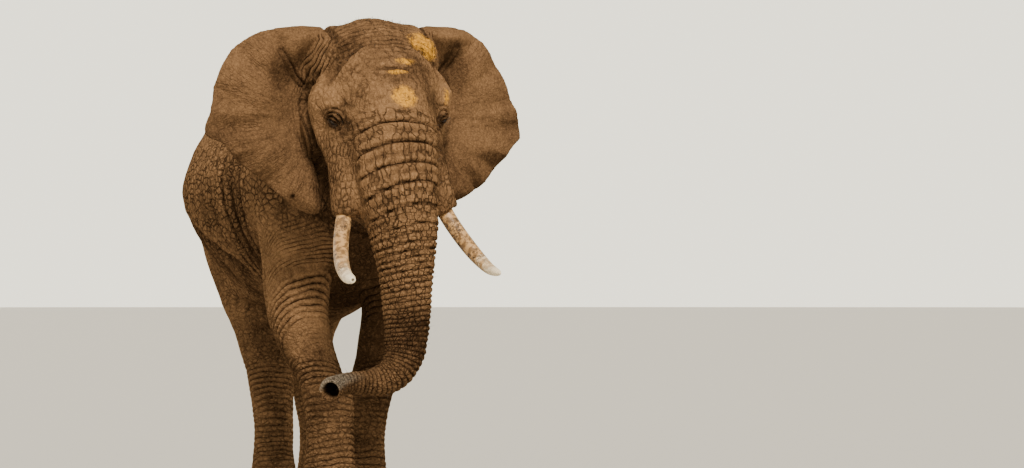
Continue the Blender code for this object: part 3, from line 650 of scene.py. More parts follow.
# ---- What is known at each point of the skin ---------------------------------------------------
class Hide:
    """The skin's points and normals, and where each lies on the head, the trunk and the legs."""

    def __init__(self, mesh):
        count = len(mesh.vertices)
        self.mesh = mesh
        self.place = np.empty(count * 3, np.float32)
        mesh.vertices.foreach_get("co", self.place)
        self.place = self.place.reshape(-1, 3).astype(float)
        self.find_normals()
        self.relief = np.zeros(count)  # how far each point has been raised, in metres
        # painted shade: how black each point is painted in the eye slits, the torn hole and the gaps by
        # the jaw and the ear, and how much darker round the eyes
        self.wet_eye_and_painted_shade = np.zeros(count)  # how black each point is painted
        self.shade = np.zeros(count)  # and how much darker
        straight = np.array(head_turn().inverted().to_3x3())
        # each point's place if the head looked straight ahead
        self.head = (self.place - np.array(NECK_PIVOT)) @ straight.T + np.array(NECK_PIVOT)
        self.face = self.head.copy()  # the same, with both sides folded onto the left
        self.face[:, 0] = np.abs(self.face[:, 0])
        self.grain = self.place.copy()
        self.find_trunk()
        self.find_legs()
        height, reach, depth = self.face[:, 2], self.face[:, 0], self.face[:, 1]
        way = np.where(self.head[:, 0] < 0, 1.0, -1.0)
        # how far past the root of the ear each point lies
        self.beyond = reach - np.interp(height, EAR_ROOT_HEIGHTS, EAR_ROOT_REACHES)
        self.beyond += 0.17 * way * np.clip(depth + 1.60, -0.15, 0.25) * span(height, 2.10, 2.75, 0.05)
        self.ear = ramp(self.beyond, 0.0, 0.05) * span(depth, -1.68, -1.28, 0.02)
        self.ear *= ramp(height, 1.80, 1.86)
        self.skull = (1 - ramp(depth, -1.36, -1.22)) * ramp(height, 1.5, 1.6) * (1 - self.ear)

    def find_normals(self):
        """Which way the skin faces at each point."""
        normals = np.empty(len(self.mesh.vertices) * 3, np.float32)
        self.mesh.vertex_normals.foreach_get("vector", normals)
        self.normal = normals.reshape(-1, 3).astype(float)

    def find_trunk(self):
        """How far down the trunk each point lies, and where round it, as if it hung straight."""
        centres, sides, fronts, rows = (np.array(column) for column in zip(*trunk_line(12)))
        widths = rows[:, 3]
        lengths = np.linalg.norm(np.diff(centres, axis=0), axis=1)
        run = np.concatenate([[0.0], np.cumsum(lengths)])
        near = np.full(len(self.head), 9.0)
        found = np.zeros(len(self.head), int)
        for k, centre in enumerate(centres):
            away = np.linalg.norm(self.head - centre, axis=1) / widths[k]
            closer = away < near
            near[closer] = away[closer]
            found[closer] = k
        offset = self.head - centres[found]
        tangents = np.cross(sides, fronts)[found]
        tangents *= np.sign((tangents * (centres[-1] - centres[0])).sum(axis=1))[:, None]
        self.down = run[found] + np.clip((offset * tangents).sum(axis=1), -0.02, 0.02)
        self.aside = (offset * sides[found]).sum(axis=1)
        self.ahead = (offset * fronts[found]).sum(axis=1)
        self.round = np.arctan2(self.aside, self.ahead)
        self.trunk_end = run[-1]
        free = ramp(self.down, 0.50, 0.85)
        self.trunk = (near < 1.6) * (self.head[:, 1] < -1.45) * ramp(self.down, 0.0, 0.1)
        hung = np.stack([self.aside, -self.ahead + centres[0][1], centres[0][2] - self.down], axis=1)
        self.grain += (self.trunk * free)[:, None] * (hung - self.grain)
        self.free_trunk = self.trunk * free

    def find_legs(self):
        """Which leg each low point belongs to, and its angle from the front towards the outside."""
        self.leg = {}
        self.leg_angle = np.zeros(len(self.place))
        height = self.place[:, 2]
        for name in LEGS:
            rows = smooth_through(LEGS[name], 4)[::-1]
            x, y, width, depth = (np.interp(height, rows[:, 2], rows[:, k]) for k in (0, 1, 3, 4))
            across, behind = self.place[:, 0] - x, self.place[:, 1] - y
            away = np.hypot(across / width, behind / depth)
            outward = SIDES[name.split("_")[1]]
            angle = np.arctan2(across * outward, -behind)
            mask = (1 - ramp(away, 1.3, 1.5)) * (1 - ramp(height, 1.80, 2.00))
            self.leg[name] = mask
            self.leg_angle = np.where(mask > 0.05, angle, self.leg_angle)
        self.any_leg = np.max(list(self.leg.values()), axis=0)

    def push(self, height, direction=None):
        """Moves each point out by a height, along its normal or one direction for all."""
        self.place += height[:, None] * (self.normal if direction is None else np.array(direction))
        if direction is None:
            self.relief += height

    def settle(self):
        """Puts the moved points into the mesh, and takes the new normals."""
        self.mesh.vertices.foreach_set("co", self.place.astype(np.float32).ravel())
        self.mesh.update()
        self.find_normals()


# ---- Bands of folds ----------------------------------------------------------------------------
class Folds:
    """Bands of parallel creases: strength, place across the creases, spacing and depth of each band."""

    def __init__(self, count):
        self.count = count
        self.bands = []

    def add(self, strength, across, spacing, depth):
        """Creases lie where the distance across is a whole number of spacings."""
        self.add_phase(strength, across / spacing, spacing, depth)

    def add_phase(self, strength, phase, spacing, depth):
        """Creases lie where the phase is a whole number."""
        ones = np.ones(self.count)
        self.bands.append([ones * strength, ones * phase, ones * spacing, ones * depth])

    def settled(self):
        """The strongest band at each point. Where two are as strong, both fade out."""
        bands = np.array(self.bands)
        best = bands[:, 0].argmax(axis=0)
        rows = np.arange(self.count)
        strength, phase, spacing, depth = (bands[best, k, rows] for k in range(4))
        others = bands[:, 0].copy()
        others[best, rows] = 0.0
        return np.clip(strength - others.max(axis=0), 0.0, 1.0), phase, spacing, depth


def crease_phase(down, end):
    """Rings of the trunk: wide apart on the face, ever closer towards the tip."""
    rng = random.Random(RING_SEED)
    marks = [FIRST_RING]
    while marks[-1] < end + 0.1:
        spacing = float(np.interp(marks[-1], RING_RUNS, RING_SPACINGS))
        marks.append(marks[-1] + spacing * rng.uniform(0.90, 1.10))
    phase = np.interp(down, marks, np.arange(len(marks)))
    phase = np.where(down < marks[0], (down - marks[0]) / RING_SPACINGS[0], phase)
    return phase, np.interp(down, RING_RUNS, RING_SPACINGS)


def trunk_folds(hide, folds, wander):
    """Rings round the trunk, which start as arches across the face below the eyes."""
    droop = hide.down - RING_DROOP * hide.round**2 * (1 - ramp(hide.down, 1.0, 1.4))
    droop += RING_TILT * hide.aside * ramp(hide.down, 0.6, 1.1) * (1 - ramp(hide.down, 1.9, 2.2))
    loose = 1 - 0.5 * ramp(hide.down, 1.0, 1.4)
    phase, spacing = crease_phase(droop + wander * loose, hide.trunk_end)
    on_face = 1 - ramp(np.abs(hide.round), 1.22, 1.55)
    around = on_face + (1 - on_face) * ramp(hide.down, 1.05, 1.25)
    upper = 1 - ramp(hide.down, 1.20, 1.45)
    deep = 1 - 0.40 * upper * (1 + np.cos(math.pi * phase))  # every second ring of the face is shallow
    broken = 1.00 + 0.25 * noise(np.stack([hide.round * 1.6, phase * 1.4, 0 * phase], axis=1), 1.0, 4)
    strength = hide.trunk * ramp(hide.down, FIRST_RING - 0.05, FIRST_RING + 0.01)
    strength = strength * around * deep * broken
    runs = (0.6, 1.1, 1.4, 1.8, hide.trunk_end)
    ring_depth = np.interp(hide.down, runs, (0.021, 0.021, 0.014, 0.0085, 0.005))
    folds.add_phase(strength, phase, spacing, ring_depth)
    turn = 4.6  # cells to a radian
    tall = phase * (0.45 + 0.55 * ramp(hide.down, 1.0, 1.6))  # on the face they are taller than a ring
    hide.ring_place = np.stack([turn * np.cos(hide.round), turn * np.sin(hide.round), tall], axis=1)
    hide.ring_share = hide.trunk * ramp(hide.down, FIRST_RING - 0.10, FIRST_RING) * around
    hide.ring_share *= 0.85 + 0.15 * ramp(hide.down, 0.95, 1.20)


def head_folds(hide, folds, wander, patchy):
    """Arcs over the forehead and crown, long folds where the ear joins, and wrinkles down the cheek."""
    face = hide.face
    reach, depth, height = face[:, 0], face[:, 1], face[:, 2]
    arc = np.hypot(reach, height - 2.45)
    loose = noise(face, 0.10, 5)
    crown = hide.skull * ramp(height, 2.80, 2.88) * (1 - ramp(depth, -1.42, -1.36))
    folds.add(0.75 * crown * patchy, arc + 1.4 * wander + 0.012 * loose, 0.027, 0.0045)
    bridge = np.hypot((hide.head[:, 0] + 0.015) / 0.165, (height - 2.50) / 0.190)
    brow = hide.skull * ramp(height, 2.48, 2.54) * span(bridge, 0.90, 1.75, 0.06)
    brow *= 1 - ramp(height, 2.80, 2.86)
    brow *= np.clip(0.50 + 0.85 * noise(face, 0.13, 6), 0, 1)
    folds.add(0.5 * brow, (bridge - 1) * 0.17 + 1.6 * wander + 0.014 * loose, 0.030, 0.0050)
    beyond = hide.beyond
    temple = span(beyond, -0.030, 0.085, 0.012) * span(height, 2.64, 2.99, 0.03)
    kept = np.clip(0.75 + 0.7 * noise(face * (1, 1, 0.4), 0.05, 8), 0, 1)
    temple *= (1 - ramp(depth, -1.42, -1.34)) * kept
    folds.add(1.3 * temple, beyond + 0.8 * wander + 0.006 * loose, 0.020, 0.0080)
    beside = span(beyond, 0.010, 0.085, 0.012) * span(height, 2.02, 2.64, 0.04)
    kept = np.clip(0.45 + 0.8 * noise(face * (1, 1, 0.3), 0.05, 9), 0, 1)
    beside *= (1 - ramp(depth, -1.40, -1.34)) * kept
    folds.add(0.9 * beside, beyond + 0.8 * wander, 0.022, 0.0055)
    cheek = hide.skull * spot(face, (0.345, -1.76, 2.24), (0.085, 0.20, 0.17)) * (1 - hide.free_trunk)
    cheek *= np.clip(0.65 + 0.9 * noise(face * (1, 1, 0.4), 0.05, 11), 0, 1)
    folds.add(1.5 * cheek, depth * 0.75 + reach * 0.55 + 1.2 * wander, 0.026, 0.0090)


def body_folds(hide, folds, wander, patchy):
    """Folds behind the ears and the shoulder, and where the flank meets the thigh."""
    _, y, z = hide.place.T
    neck = span(y, -1.27, -0.98, 0.04) * (1 - hide.ear) * (1 - hide.any_leg) * ramp(z, 2.05, 2.25)
    folds.add(0.9 * neck, y + 0.10 * (z - 2.2) ** 2 + wander, 0.062, 0.012)
    behind = span(y, -0.62, -0.22, 0.10) * span(z, 1.25, 2.35, 0.15) * (1 - hide.any_leg)
    folds.add(1.25 * behind * patchy, y + 0.06 * z + wander * 2.4, 0.120, 0.026)
    flank = span(y, 0.42, 0.72, 0.08) * span(z, 1.15, 1.75, 0.15)
    folds.add(0.8 * flank * patchy, y + 0.55 * z + wander * 1.4, 0.060, 0.011)
    tail_root = (y > 1.80) * ramp(z, 1.0, 1.1)
    folds.add(0.8 * tail_root, z + wander, 0.030, 0.003)


def leg_folds(hide, folds, wander, patchy):
    """Arched folds over the arms, rings at the wrists, and low wrinkles above the feet."""
    z = hide.place[:, 2]
    for name, mask in hide.leg.items():
        level = z + ARM_DROOP * hide.leg_angle**2 + 0.06 * hide.leg_angle
        fore = name.startswith("fore")
        if fore:
            front = mask * (1 - ramp(np.abs(hide.leg_angle), 1.3, 2.1))
            kept = np.clip(0.50 + 1.1 * noise(hide.grain * (1, 1, 2.8), 0.13, 7), 0, 1)
            sway = 1.6 * wander + 0.010 * noise(hide.grain, 0.12, 10)
            fine = front * span(level, 1.52, 1.98, 0.06) * (0.35 + 0.65 * kept)
            folds.add(0.90 * fine, level + sway, 0.027, 0.0070)
            deep = front * span(level, 1.22, 1.55, 0.04) * (0.45 + 0.55 * kept)
            folds.add(1.05 * deep, level + sway, 0.041, 0.0135)
            worn = front * span(level, 1.02, 1.22, 0.04) * kept
            folds.add(0.50 * worn, level + sway, 0.034, 0.0060)
            wrist = mask * span(z, 0.80, 0.98, 0.03) * (0.5 + 0.5 * patchy)
            folds.add(1.1 * wrist, z + 0.03 * hide.leg_angle**2 + 1.5 * wander, 0.032, 0.0085)
        low = 0.80 if fore else 0.92
        shin = mask * span(z, 0.16, low, 0.05)
        folds.add(1.05 * shin * patchy, z + 0.02 * hide.leg_angle**2 + wander * 1.9, 0.038, 0.0085)


def all_folds(hide):
    """Every band of folds on the bull."""
    folds = Folds(len(hide.place))
    grain = hide.grain
    wander = 0.012 * noise(grain, 0.22, 1) + 0.005 * noise(grain, 0.07, 2)
    patchy = 0.65 + 0.45 * noise(grain, 0.16, 3)
    trunk_folds(hide, folds, wander)
    head_folds(hide, folds, wander, patchy)
    body_folds(hide, folds, wander, patchy)
    leg_folds(hide, folds, wander, patchy)
    return folds.settled()


def fold_height(strength, phase, spacing, depth):
    """How far a fold stands out or a crease sinks in."""
    away = np.abs(phase - np.round(phase))
    width = np.minimum(CREASE_WIDTH, CREASE_SHARE * spacing)
    crease = bell(away * spacing, 0.0, width)
    swell = np.minimum(SWELL_SHARE * depth, SWELL_MOST * spacing) * (1 - (1 - 2 * away) ** 2)
    return strength * (swell - SINK_SHARE * depth * crease)


# ---- The skin ----------------------------------------------------------------------------------
def grown_skin():
    """The whole flesh as one fine skin, before it is folded."""
    bulk = fused("bulk", [torso(), head(), *[leg(name) for name in LEGS]], BULK_VOXEL, BULK_SMOOTHING)
    ears = [ear(side) for side in SIDES.values()]
    return fused("skin", [bulk, tail(), *ears], SKIN_VOXEL, SKIN_SMOOTHING)


def smoothed(mesh, verts):
    """Draws some points of a bmesh halfway to their neighbours."""
    every_way = {"use_axis_" + axis: True for axis in "xyz"}
    bmesh.ops.smooth_vert(mesh, verts=verts, factor=0.5, **every_way)


def refined(skin, balls):
    """Splits the faces inside some balls in two each way, and rounds them."""
    mesh = bmesh.new()
    mesh.from_mesh(skin.data)
    for centre, radius in balls:
        centre = Vector(centre)
        inside = {vert for vert in mesh.verts if (vert.co - centre).length < radius}
        edges = [edge for edge in mesh.edges if edge.verts[0] in inside and edge.verts[1] in inside]
        made = bmesh.ops.subdivide_edges(mesh, edges=edges, cuts=1, use_grid_fill=True)
        verts = [item for item in made["geom"] if isinstance(item, bmesh.types.BMVert)]
        smoothed(mesh, verts)
    mesh.to_mesh(skin.data)
    mesh.free()


def socket_frame(hide, side):
    """The middle of an eye's opening, and directions along the slit, over it and out of the head."""
    seat = np.array(turned(mirrored(EYE_SEAT, side)))
    near = np.linalg.norm(hide.place - seat, axis=1) < 0.05
    out = hide.normal[near].mean(axis=0)
    out = out / np.linalg.norm(out) + EYE_FRONTWARD * np.array(head_turn() @ Vector((0.0, -1.0, 0.0)))
    out /= np.linalg.norm(out)
    up = np.array((0.0, 0.0, 1.0)) - out * out[2]
    up /= np.linalg.norm(up)
    forward = np.cross(out, up) * side
    c, s = math.cos(math.radians(EYE_SLANT)), math.sin(math.radians(EYE_SLANT))
    return seat, c * forward - s * up, c * up + s * forward, out


# large forms of the face: middle, radii, and how far each stands out or sinks in
FACE_FORMS = (
    ((0.372, -1.74, 2.600), (0.055, 0.080, 0.055), 0.026),  # bulge of the brow
    ((0.300, -1.80, 2.660), (0.050, 0.080, 0.050), 0.010),  # inner end of the brow
    ((0.318, -1.85, 2.420), (0.030, 0.050, 0.045), -0.026),  # hollow before the eye
    ((0.372, -1.76, 2.360), (0.045, 0.060, 0.040), 0.012),  # pouch under the eye
    ((0.300, -1.72, 2.840), (0.050, 0.100, 0.055), -0.006),  # hollow of the temple
    ((0.365, -1.60, 2.200), (0.050, 0.060, 0.130), -0.030),  # hollow behind the cheek
    ((0.310, -1.90, 2.010), (0.070, 0.080, 0.110), 0.012),  # sheath of the tusk
    ((0.000, -1.99, 2.540), (0.110, 0.120, 0.100), 0.014),  # base of the nose
    ((0.225, -1.86, 2.560), (0.045, 0.080, 0.060), -0.012),  # between the nose and the brow
)


def form_face(hide):
    """The large forms of the face, which the fusing left too round."""
    face, beyond = hide.face, hide.beyond
    out = spots(face, FACE_FORMS)
    front = hide.skull * (1 - ramp(face[:, 1], -1.52, -1.44))
    out += 0.010 * front * line(face, [(x - 0.016, z - 0.020) for x, z in TEMPLE_RIDGE], 0.018)
    for k, depth in enumerate((0.018, 0.012, 0.008)):
        above = [(x + 0.010 * k, z + 0.024 * k) for x, z in TEMPLE_RIDGE]
        out -= depth * front * line(face, above, 0.009)
    for k, depth in enumerate((0.010, 0.007)):
        below = [(x - 0.016 - 0.014 * k, z - 0.030 - 0.022 * k) for x, z in TEMPLE_RIDGE[1:]]
        out -= depth * front * line(face, below, 0.008)
    out -= 0.010 * front * line(hide.head, FOREHEAD_CREASE, 0.008)
    out -= 0.008 * (face[:, 1] < -1.80) * line(face, NOSE_FURROW, 0.010)
    beside = span(face[:, 1], -1.72, -1.38, 0.02) * span(face[:, 2], 2.06, 2.74, 0.04)
    out += 0.022 * beside * bell(beyond, -0.034, 0.026) * ramp(face[:, 2], 2.20, 2.40)
    hide.gap = beside * bell(beyond, 0.004, 0.012)  # the groove between the head and the ear
    out -= 0.042 * hide.gap
    out -= 0.016 * front * line(face, CROWN_NOTCH, 0.012)
    over = (face[:, 1] < -1.28) * (face[:, 2] > 2.93)
    out -= 0.020 * over * bell(face[:, 0], 0.300, 0.015)  # between the crown and the ear
    out += 0.026 * spot(face, (0.235, -1.55, 2.930), (0.055, 0.12, 0.060))
    out += 0.014 * over * bell(face[:, 0], 0.36, 0.03)
    hide.push(out * (1 - hide.ear))
    hide.settle()


def form_mouth(hide):
    """The line of the mouth, between the cheek and the hanging lower lip."""
    face = hide.face
    beside = (face[:, 0] > 0.03) * (face[:, 0] < 0.26) * (face[:, 2] < 2.06)
    groove = beside * line(face, MOUTH, 0.012, axes=(1, 2))
    hide.push(-0.018 * groove * (1 - hide.free_trunk * 0.7))
    hide.settle()


def lid_distance(across, above):
    """How far each point lies from the slit, in rings that grow rounder away from it."""
    low, high = np.full(len(across), -0.009), np.full(len(across), 0.25)
    for _ in range(22):
        away = (low + high) / 2
        ring = (across / (EYE_HALF_LENGTH + 0.85 * away)) ** 2 + (above / (EYE_HALF_HEIGHT + away)) ** 2
        low, high = np.where(ring > 1, away, low), np.where(ring > 1, high, away)
    return (low + high) / 2


# folds of the lids: distance from the slit, width, height of the lower and of the upper one
LID_ROLLS = (
    (0.0060, 0.0065, 0.0030, 0.0170),
    (0.0180, 0.0048, -0.0030, -0.0150),
    (0.0310, 0.0090, 0.0020, 0.0140),
    (0.0450, 0.0055, -0.0060, -0.0170),
    (0.0580, 0.0090, 0.0010, 0.0060),
    (0.0720, 0.0052, -0.0010, -0.0070),
)


def form_eyes(hide):
    """Lids that close round each eyeball, in thick folds that arch over it."""
    for side in SIDES.values():
        seat, forward, up, out = socket_frame(hide, side)
        offset = hide.place - seat
        close = np.linalg.norm(offset, axis=1) < SOCKET_REACH
        offset = offset[close]
        across, above, proud = offset @ forward, offset @ up, offset @ out
        away = lid_distance(across, above)
        upper = ramp(above - 0.40 * across, -0.006, 0.016) * (1 - 0.6 * ramp(across, 0.015, 0.050))
        middle = np.hypot(across, above)
        lid = (EYE_RADIUS + 0.0060 + 0.0060 * upper) * np.exp(-((middle / 0.036) ** 4)) - 0.006
        height = (lid - proud) * np.exp(-((middle / 0.044) ** 4))
        uneven = 1 + 1.3 * noise(offset, 0.030, 51)
        for distance, width, below, over in LID_ROLLS:
            amount = (below + (over - below) * upper) * (1 + (uneven - 1) * (distance > 0.02))
            height += amount * bell(away, distance, width)
        height -= (1 - ramp(away, -0.0030, 0.0005)) * 0.030
        push = np.zeros(len(hide.place))
        push[close] = height
        hide.push(push, out)
        # painted shade: the slit between the lids is painted black, and the socket round it darker
        hide.wet_eye_and_painted_shade[close] = np.maximum(hide.wet_eye_and_painted_shade[close], 1 - ramp(away - 0.10 * across, 0.002, 0.012))
        shade = (1 - ramp(away, 0.014, 0.045)) * (1 - 0.45 * upper)
        hide.shade[close] = np.maximum(hide.shade[close], shade)
    hide.settle()


def form_tusk_lips(hide):
    """The sheath closes round each tusk in a thick rolled lip."""
    for side in SIDES.values():
        rows = smooth_through(TUSK, 6)
        rows[:, 0] += np.interp(np.linspace(0, 1, len(rows)), (0, 1), TUSK_SWAY[side])
        away = np.full(len(hide.head), 9.0)
        for row in rows:
            centre = np.array(mirrored(row[:3], side))
            away = np.minimum(away, np.linalg.norm(hide.head - centre, axis=1) - row[3])
        down = (hide.face[:, 2] < 2.0) * (hide.face[:, 2] > 1.6)
        height = 0.016 * bell(away, 0.024, 0.013) - 0.018 * (1 - ramp(away, 0.001, 0.011))
        height -= 0.006 * bell(away, 0.046, 0.006)
        hide.push(height * down * (1 - hide.free_trunk * 0.8))
    hide.settle()


def form_trunk_tip(hide):
    """Two nostrils in the end of the trunk, with a finger over them and one under."""
    stations = trunk_line(12)
    centre, sideways, front, row = stations[-1]
    centre, sideways, front = (np.array(v) for v in (centre, sideways, front))
    heading = np.array(stations[-1][0] - stations[-4][0])
    heading /= np.linalg.norm(heading)
    offset = hide.head - centre
    along, aside, ahead = offset @ heading, offset @ sideways, offset @ front
    close = np.linalg.norm(offset, axis=1) < 0.22
    radius = row[3]
    spread = np.hypot(aside, ahead) / radius
    end = close * ramp(along, -0.024, -0.006)
    upward = np.array((0.0, 0.0, 1.0)) - heading * heading[2]
    level = offset @ (upward / np.linalg.norm(upward))
    pull = 1 - ramp(np.hypot(aside / 0.056, ahead / 0.052), 0.66, 1.02)
    wall = 0.35 * bell(aside, 0.0, 0.007)  # between the nostrils, set deep
    rim = bell(spread, 0.93, 0.15)
    lips = 0.034 * ramp(level, 0.010, 0.060) + 0.026 * ramp(-level, 0.015, 0.060)
    height = (0.005 + lips) * rim * end - 0.085 * pull * (1 - wall) * end
    turn = np.array(head_turn().to_3x3())
    hide.push(height, turn @ heading)
    # painted shade: the nostrils are painted near black through the dark note
    hide.nostril = pull * end
    grey = (np.linalg.norm(offset, axis=1) < 0.30) * ramp(along, -0.26, -0.10)
    hide.grey = grey * ramp(level + 0.20 * radius, 0.0, 0.05) * (1 - hide.nostril)
    hide.settle()


def ear_fan(hide):
    """Each point's angle round the hub of the ears, and its distance from it."""
    reach, height = hide.face[:, 0] - EAR_HUB[0], hide.face[:, 2] - EAR_HUB[1]
    return np.arctan2(height, reach), np.hypot(reach, height)


# hollows and ridges of the left ear and then of the right: middle, radii, how far each stands out
EAR_FORMS = (
    ((0.56, -1.45, 2.83), (0.11, 0.14, 0.08), -0.050),
    ((0.62, -1.45, 2.97), (0.22, 0.14, 0.040), 0.022),
    ((0.50, -1.45, 2.62), (0.10, 0.14, 0.12), -0.018),
    ((-0.72, -1.40, 2.62), (0.20, 0.14, 0.07), 0.024),
    ((-0.80, -1.40, 2.43), (0.16, 0.14, 0.06), -0.024),
    ((-0.66, -1.42, 2.28), (0.10, 0.14, 0.12), 0.020),
    ((-0.62, -1.42, 2.10), (0.06, 0.14, 0.07), -0.022),
)


def form_ears(hide):
    """Ribs that fan out over the ear, waves along its free edge, and a rolled front edge."""
    turn, out = ear_fan(hide)
    way = np.sign(hide.head[:, 0])
    fan = np.stack([turn * 1.2, way * 3.0, out * 0.8], axis=1)
    wave = 0.014 * np.sin(turn * 17.0 + 2.5 * noise(fan, 0.35, 21) + way) * ramp(out, 0.34, 0.62)
    wave += 0.016 * noise(fan, 0.30, 22) * ramp(out, 0.15, 0.5)
    wave += 0.008 * noise(fan * (1, 1, 0.25), 0.07, 23) * ramp(out, 0.2, 0.5)
    wave += 0.012 * spot(hide.face, (0.554, -1.52, 2.402), (0.025, 0.10, 0.022))  # where a vein swells
    ahead = np.array(head_turn().to_3x3()) @ np.array((0.0, -1.0, 0.0))
    hide.push(wave * hide.ear, ahead)
    for centre, radii, amount in EAR_FORMS:
        hide.push(amount * spot(hide.head, centre, radii) * hide.ear, ahead)
    near = (hide.face[:, 1] < -1.36) * (1 - hide.skull * (hide.face[:, 0] < 0.40))
    crease = near * line(hide.face, EAR_FOLD, 0.016)
    pit = 0.016 * near * spot(hide.face, (0.57, -1.46, 2.76), (0.07, 0.10, 0.09))
    hide.push(-0.030 * crease - pit)
    hole = np.exp(-((np.linalg.norm(hide.head - np.array(TORN_HOLE), axis=1) / 0.016) ** 4))
    hide.push(-0.010 * hole)
    # painted shade: the torn hole is painted black
    hide.wet_eye_and_painted_shade = np.maximum(hide.wet_eye_and_painted_shade, hole)
    hide.settle()


# shoulder blade, the dip behind it, point of the hip, and the hollow of the flank
BODY_FORMS = (
    ((0.45, -0.85, 2.10), (0.25, 0.15, 0.30), 0.030),
    ((0.50, -0.45, 2.00), (0.25, 0.12, 0.35), -0.022),
    ((0.40, 1.15, 2.45), (0.25, 0.15, 0.15), 0.036),
    ((0.50, 0.80, 2.15), (0.25, 0.16, 0.20), -0.034),
)


def form_body(hide):
    """Shoulder blades, spine, ribs and hips, and the fold where the barrel hangs over the thigh."""
    x, y, z = hide.place.T
    half = np.stack([np.abs(x), y, z], axis=1)
    body = (y > -1.10) * (1 - hide.ear)
    out = spots(half, BODY_FORMS)
    out += 0.020 * bell(x, 0.0, 0.06) * ramp(z, 2.1, 2.3) * span(y, -0.7, 1.5, 0.2)  # spine
    ribs = spot(half, (0.60, 0.15, 1.95), (0.35, 0.45, 0.42))
    out += 0.006 * ribs * np.sin(math.tau * (y + 0.25 * z) / 0.19)
    side = ramp(half[:, 0], 0.15, 0.25) * (1 - ramp(z, 1.96, 2.02))
    side *= span(y, -0.06, 0.58, 0.16)
    hide.barrel = body * side * line(half, BARREL_FOLD, 0.032, axes=(1, 2))
    out -= 0.034 * hide.barrel
    raised = [(across, level + 0.08) for across, level in BARREL_FOLD]
    out += 0.014 * side * line(half, raised, 0.060, axes=(1, 2))
    hide.push(out * body)
    hide.settle()


def form_feet(hide):
    """Rounds the lower rim of each sole, and raises a cuticle round each toenail."""
    height = hide.place[:, 2]
    hide.push(-0.012 * hide.any_leg * (1 - ramp(height, 0.0, 0.035)))
    half_nail = (NAIL_WIDTH / 2, NAIL_WIDTH / 2, NAIL_TALL / 2)
    for name in LEGS:
        for seat, _ in nail_places(name):
            away = np.linalg.norm((hide.place - np.array(seat)) / half_nail, axis=1)
            hide.push(0.007 * bell(away, 1.22, 0.18))
    hide.settle()


def fold_skin(hide):
    """Folds and soft lumps, as real relief."""
    strength, phase, spacing, depth = all_folds(hide)
    height = fold_height(strength, phase, spacing, depth)
    lumps = 0.006 * (1 - hide.ear) * noise(hide.place, 0.14, 33)
    height += lumps + 0.002 * noise(hide.place, 0.045, 34)
    brow = hide.skull * ramp(hide.face[:, 2], 2.46, 2.54) * (1 - hide.free_trunk)
    creased = np.abs(noise(hide.head * (1, 1, 0.7) + 0.3 * hide.head[:, [2]] * (1, 0, 0), 0.050, 35))
    cracks = 0.0055 * brow * (1 - ramp(creased, 0.02, 0.12))
    height -= cracks + 0.0030 * brow * noise(hide.head, 0.024, 36)
    hide.push(height * (1 - hide.nostril))
    hide.folds = (strength, phase, spacing)
    hide.settle()


def net_notes(hide):
    """Where the cracked net of the hide lies, counted in cells, and how strongly it shows."""
    x, y, z = hide.place.T
    levels = np.linspace(-0.1, 3.3, 200)
    tall = np.interp(levels, (0.9, 1.4, 2.1), (0.028, 0.034, 0.040))
    count = np.concatenate([[0.0], np.cumsum(np.diff(levels) / tall[1:])])
    hide.net_place = np.stack([x / 0.038, y / 0.062, np.interp(z, levels, count)], axis=1)
    on_face = hide.skull > 0.5
    hide.net_place[on_face] = (hide.head / (0.027, 0.036, 0.056))[on_face]
    body = (1 - np.maximum(hide.skull, hide.trunk)) * (1 - hide.ear)
    level = ramp(np.abs(hide.normal[:, 2]), 0.3, 0.7)
    share = 0.95 * body * (1 - 0.30 * hide.any_leg) * (1 - 0.25 * level)
    arm = span(np.abs(hide.leg_angle), -1.0, 1.1, 0.3) * ramp(z, 0.9, 1.1) * (1 - ramp(z, 1.7, 1.9))
    share *= 1 - 0.45 * arm * np.maximum(hide.leg["foreleg_left"], hide.leg["foreleg_right"])
    cheek = ramp(2.42 - z, 0.0, 0.15) * (1 - hide.ear)
    share = np.maximum(share, hide.skull * (0.42 + 0.36 * cheek) * (1 - hide.ring_share))
    share = np.maximum(share, 0.12 * hide.ear)
    turn, out = ear_fan(hide)
    on_ear = np.stack([turn * 16.0, np.sign(hide.head[:, 0]) * 7.0, out * 5.0], axis=1)
    lone = hide.ear > 0.5
    hide.ring_place[lone] = on_ear[lone]
    ragged = np.clip(0.55 + 1.2 * noise(hide.head, 0.18, 52), 0.15, 1)
    ear_share = 0.40 * np.clip(2 * hide.ear - 1, 0, 1) * ramp(out, 0.15, 0.45) * ragged
    hide.ring_share = np.maximum(hide.ring_share * (1 - hide.ear), ear_share)
    hide.net_share = share


def flat_soles(skin):
    """Cuts the feet off level with the floor and closes the soles."""
    mesh = bmesh.new()
    mesh.from_mesh(skin.data)
    geometry = mesh.verts[:] + mesh.edges[:] + mesh.faces[:]
    floor = {"plane_co": (0, 0, 0), "plane_no": (0, 0, -1)}
    bmesh.ops.bisect_plane(mesh, geom=geometry, dist=1e-5, clear_outer=True, **floor)
    rim = [edge for edge in mesh.edges if edge.is_boundary]
    soles = bmesh.ops.holes_fill(mesh, edges=rim, sides=0)["faces"]
    bmesh.ops.triangulate(mesh, faces=soles)
    mesh.to_mesh(skin.data)
    mesh.free()


def note(mesh, name, values):
    """Stores a number or a vector for each point of a mesh."""
    kind, key = ("FLOAT", "value") if np.ndim(values) == 1 else ("FLOAT_VECTOR", "vector")
    flat = np.ascontiguousarray(values, np.float32).ravel()
    mesh.attributes.new(name, kind, "POINT").data.foreach_set(key, flat)


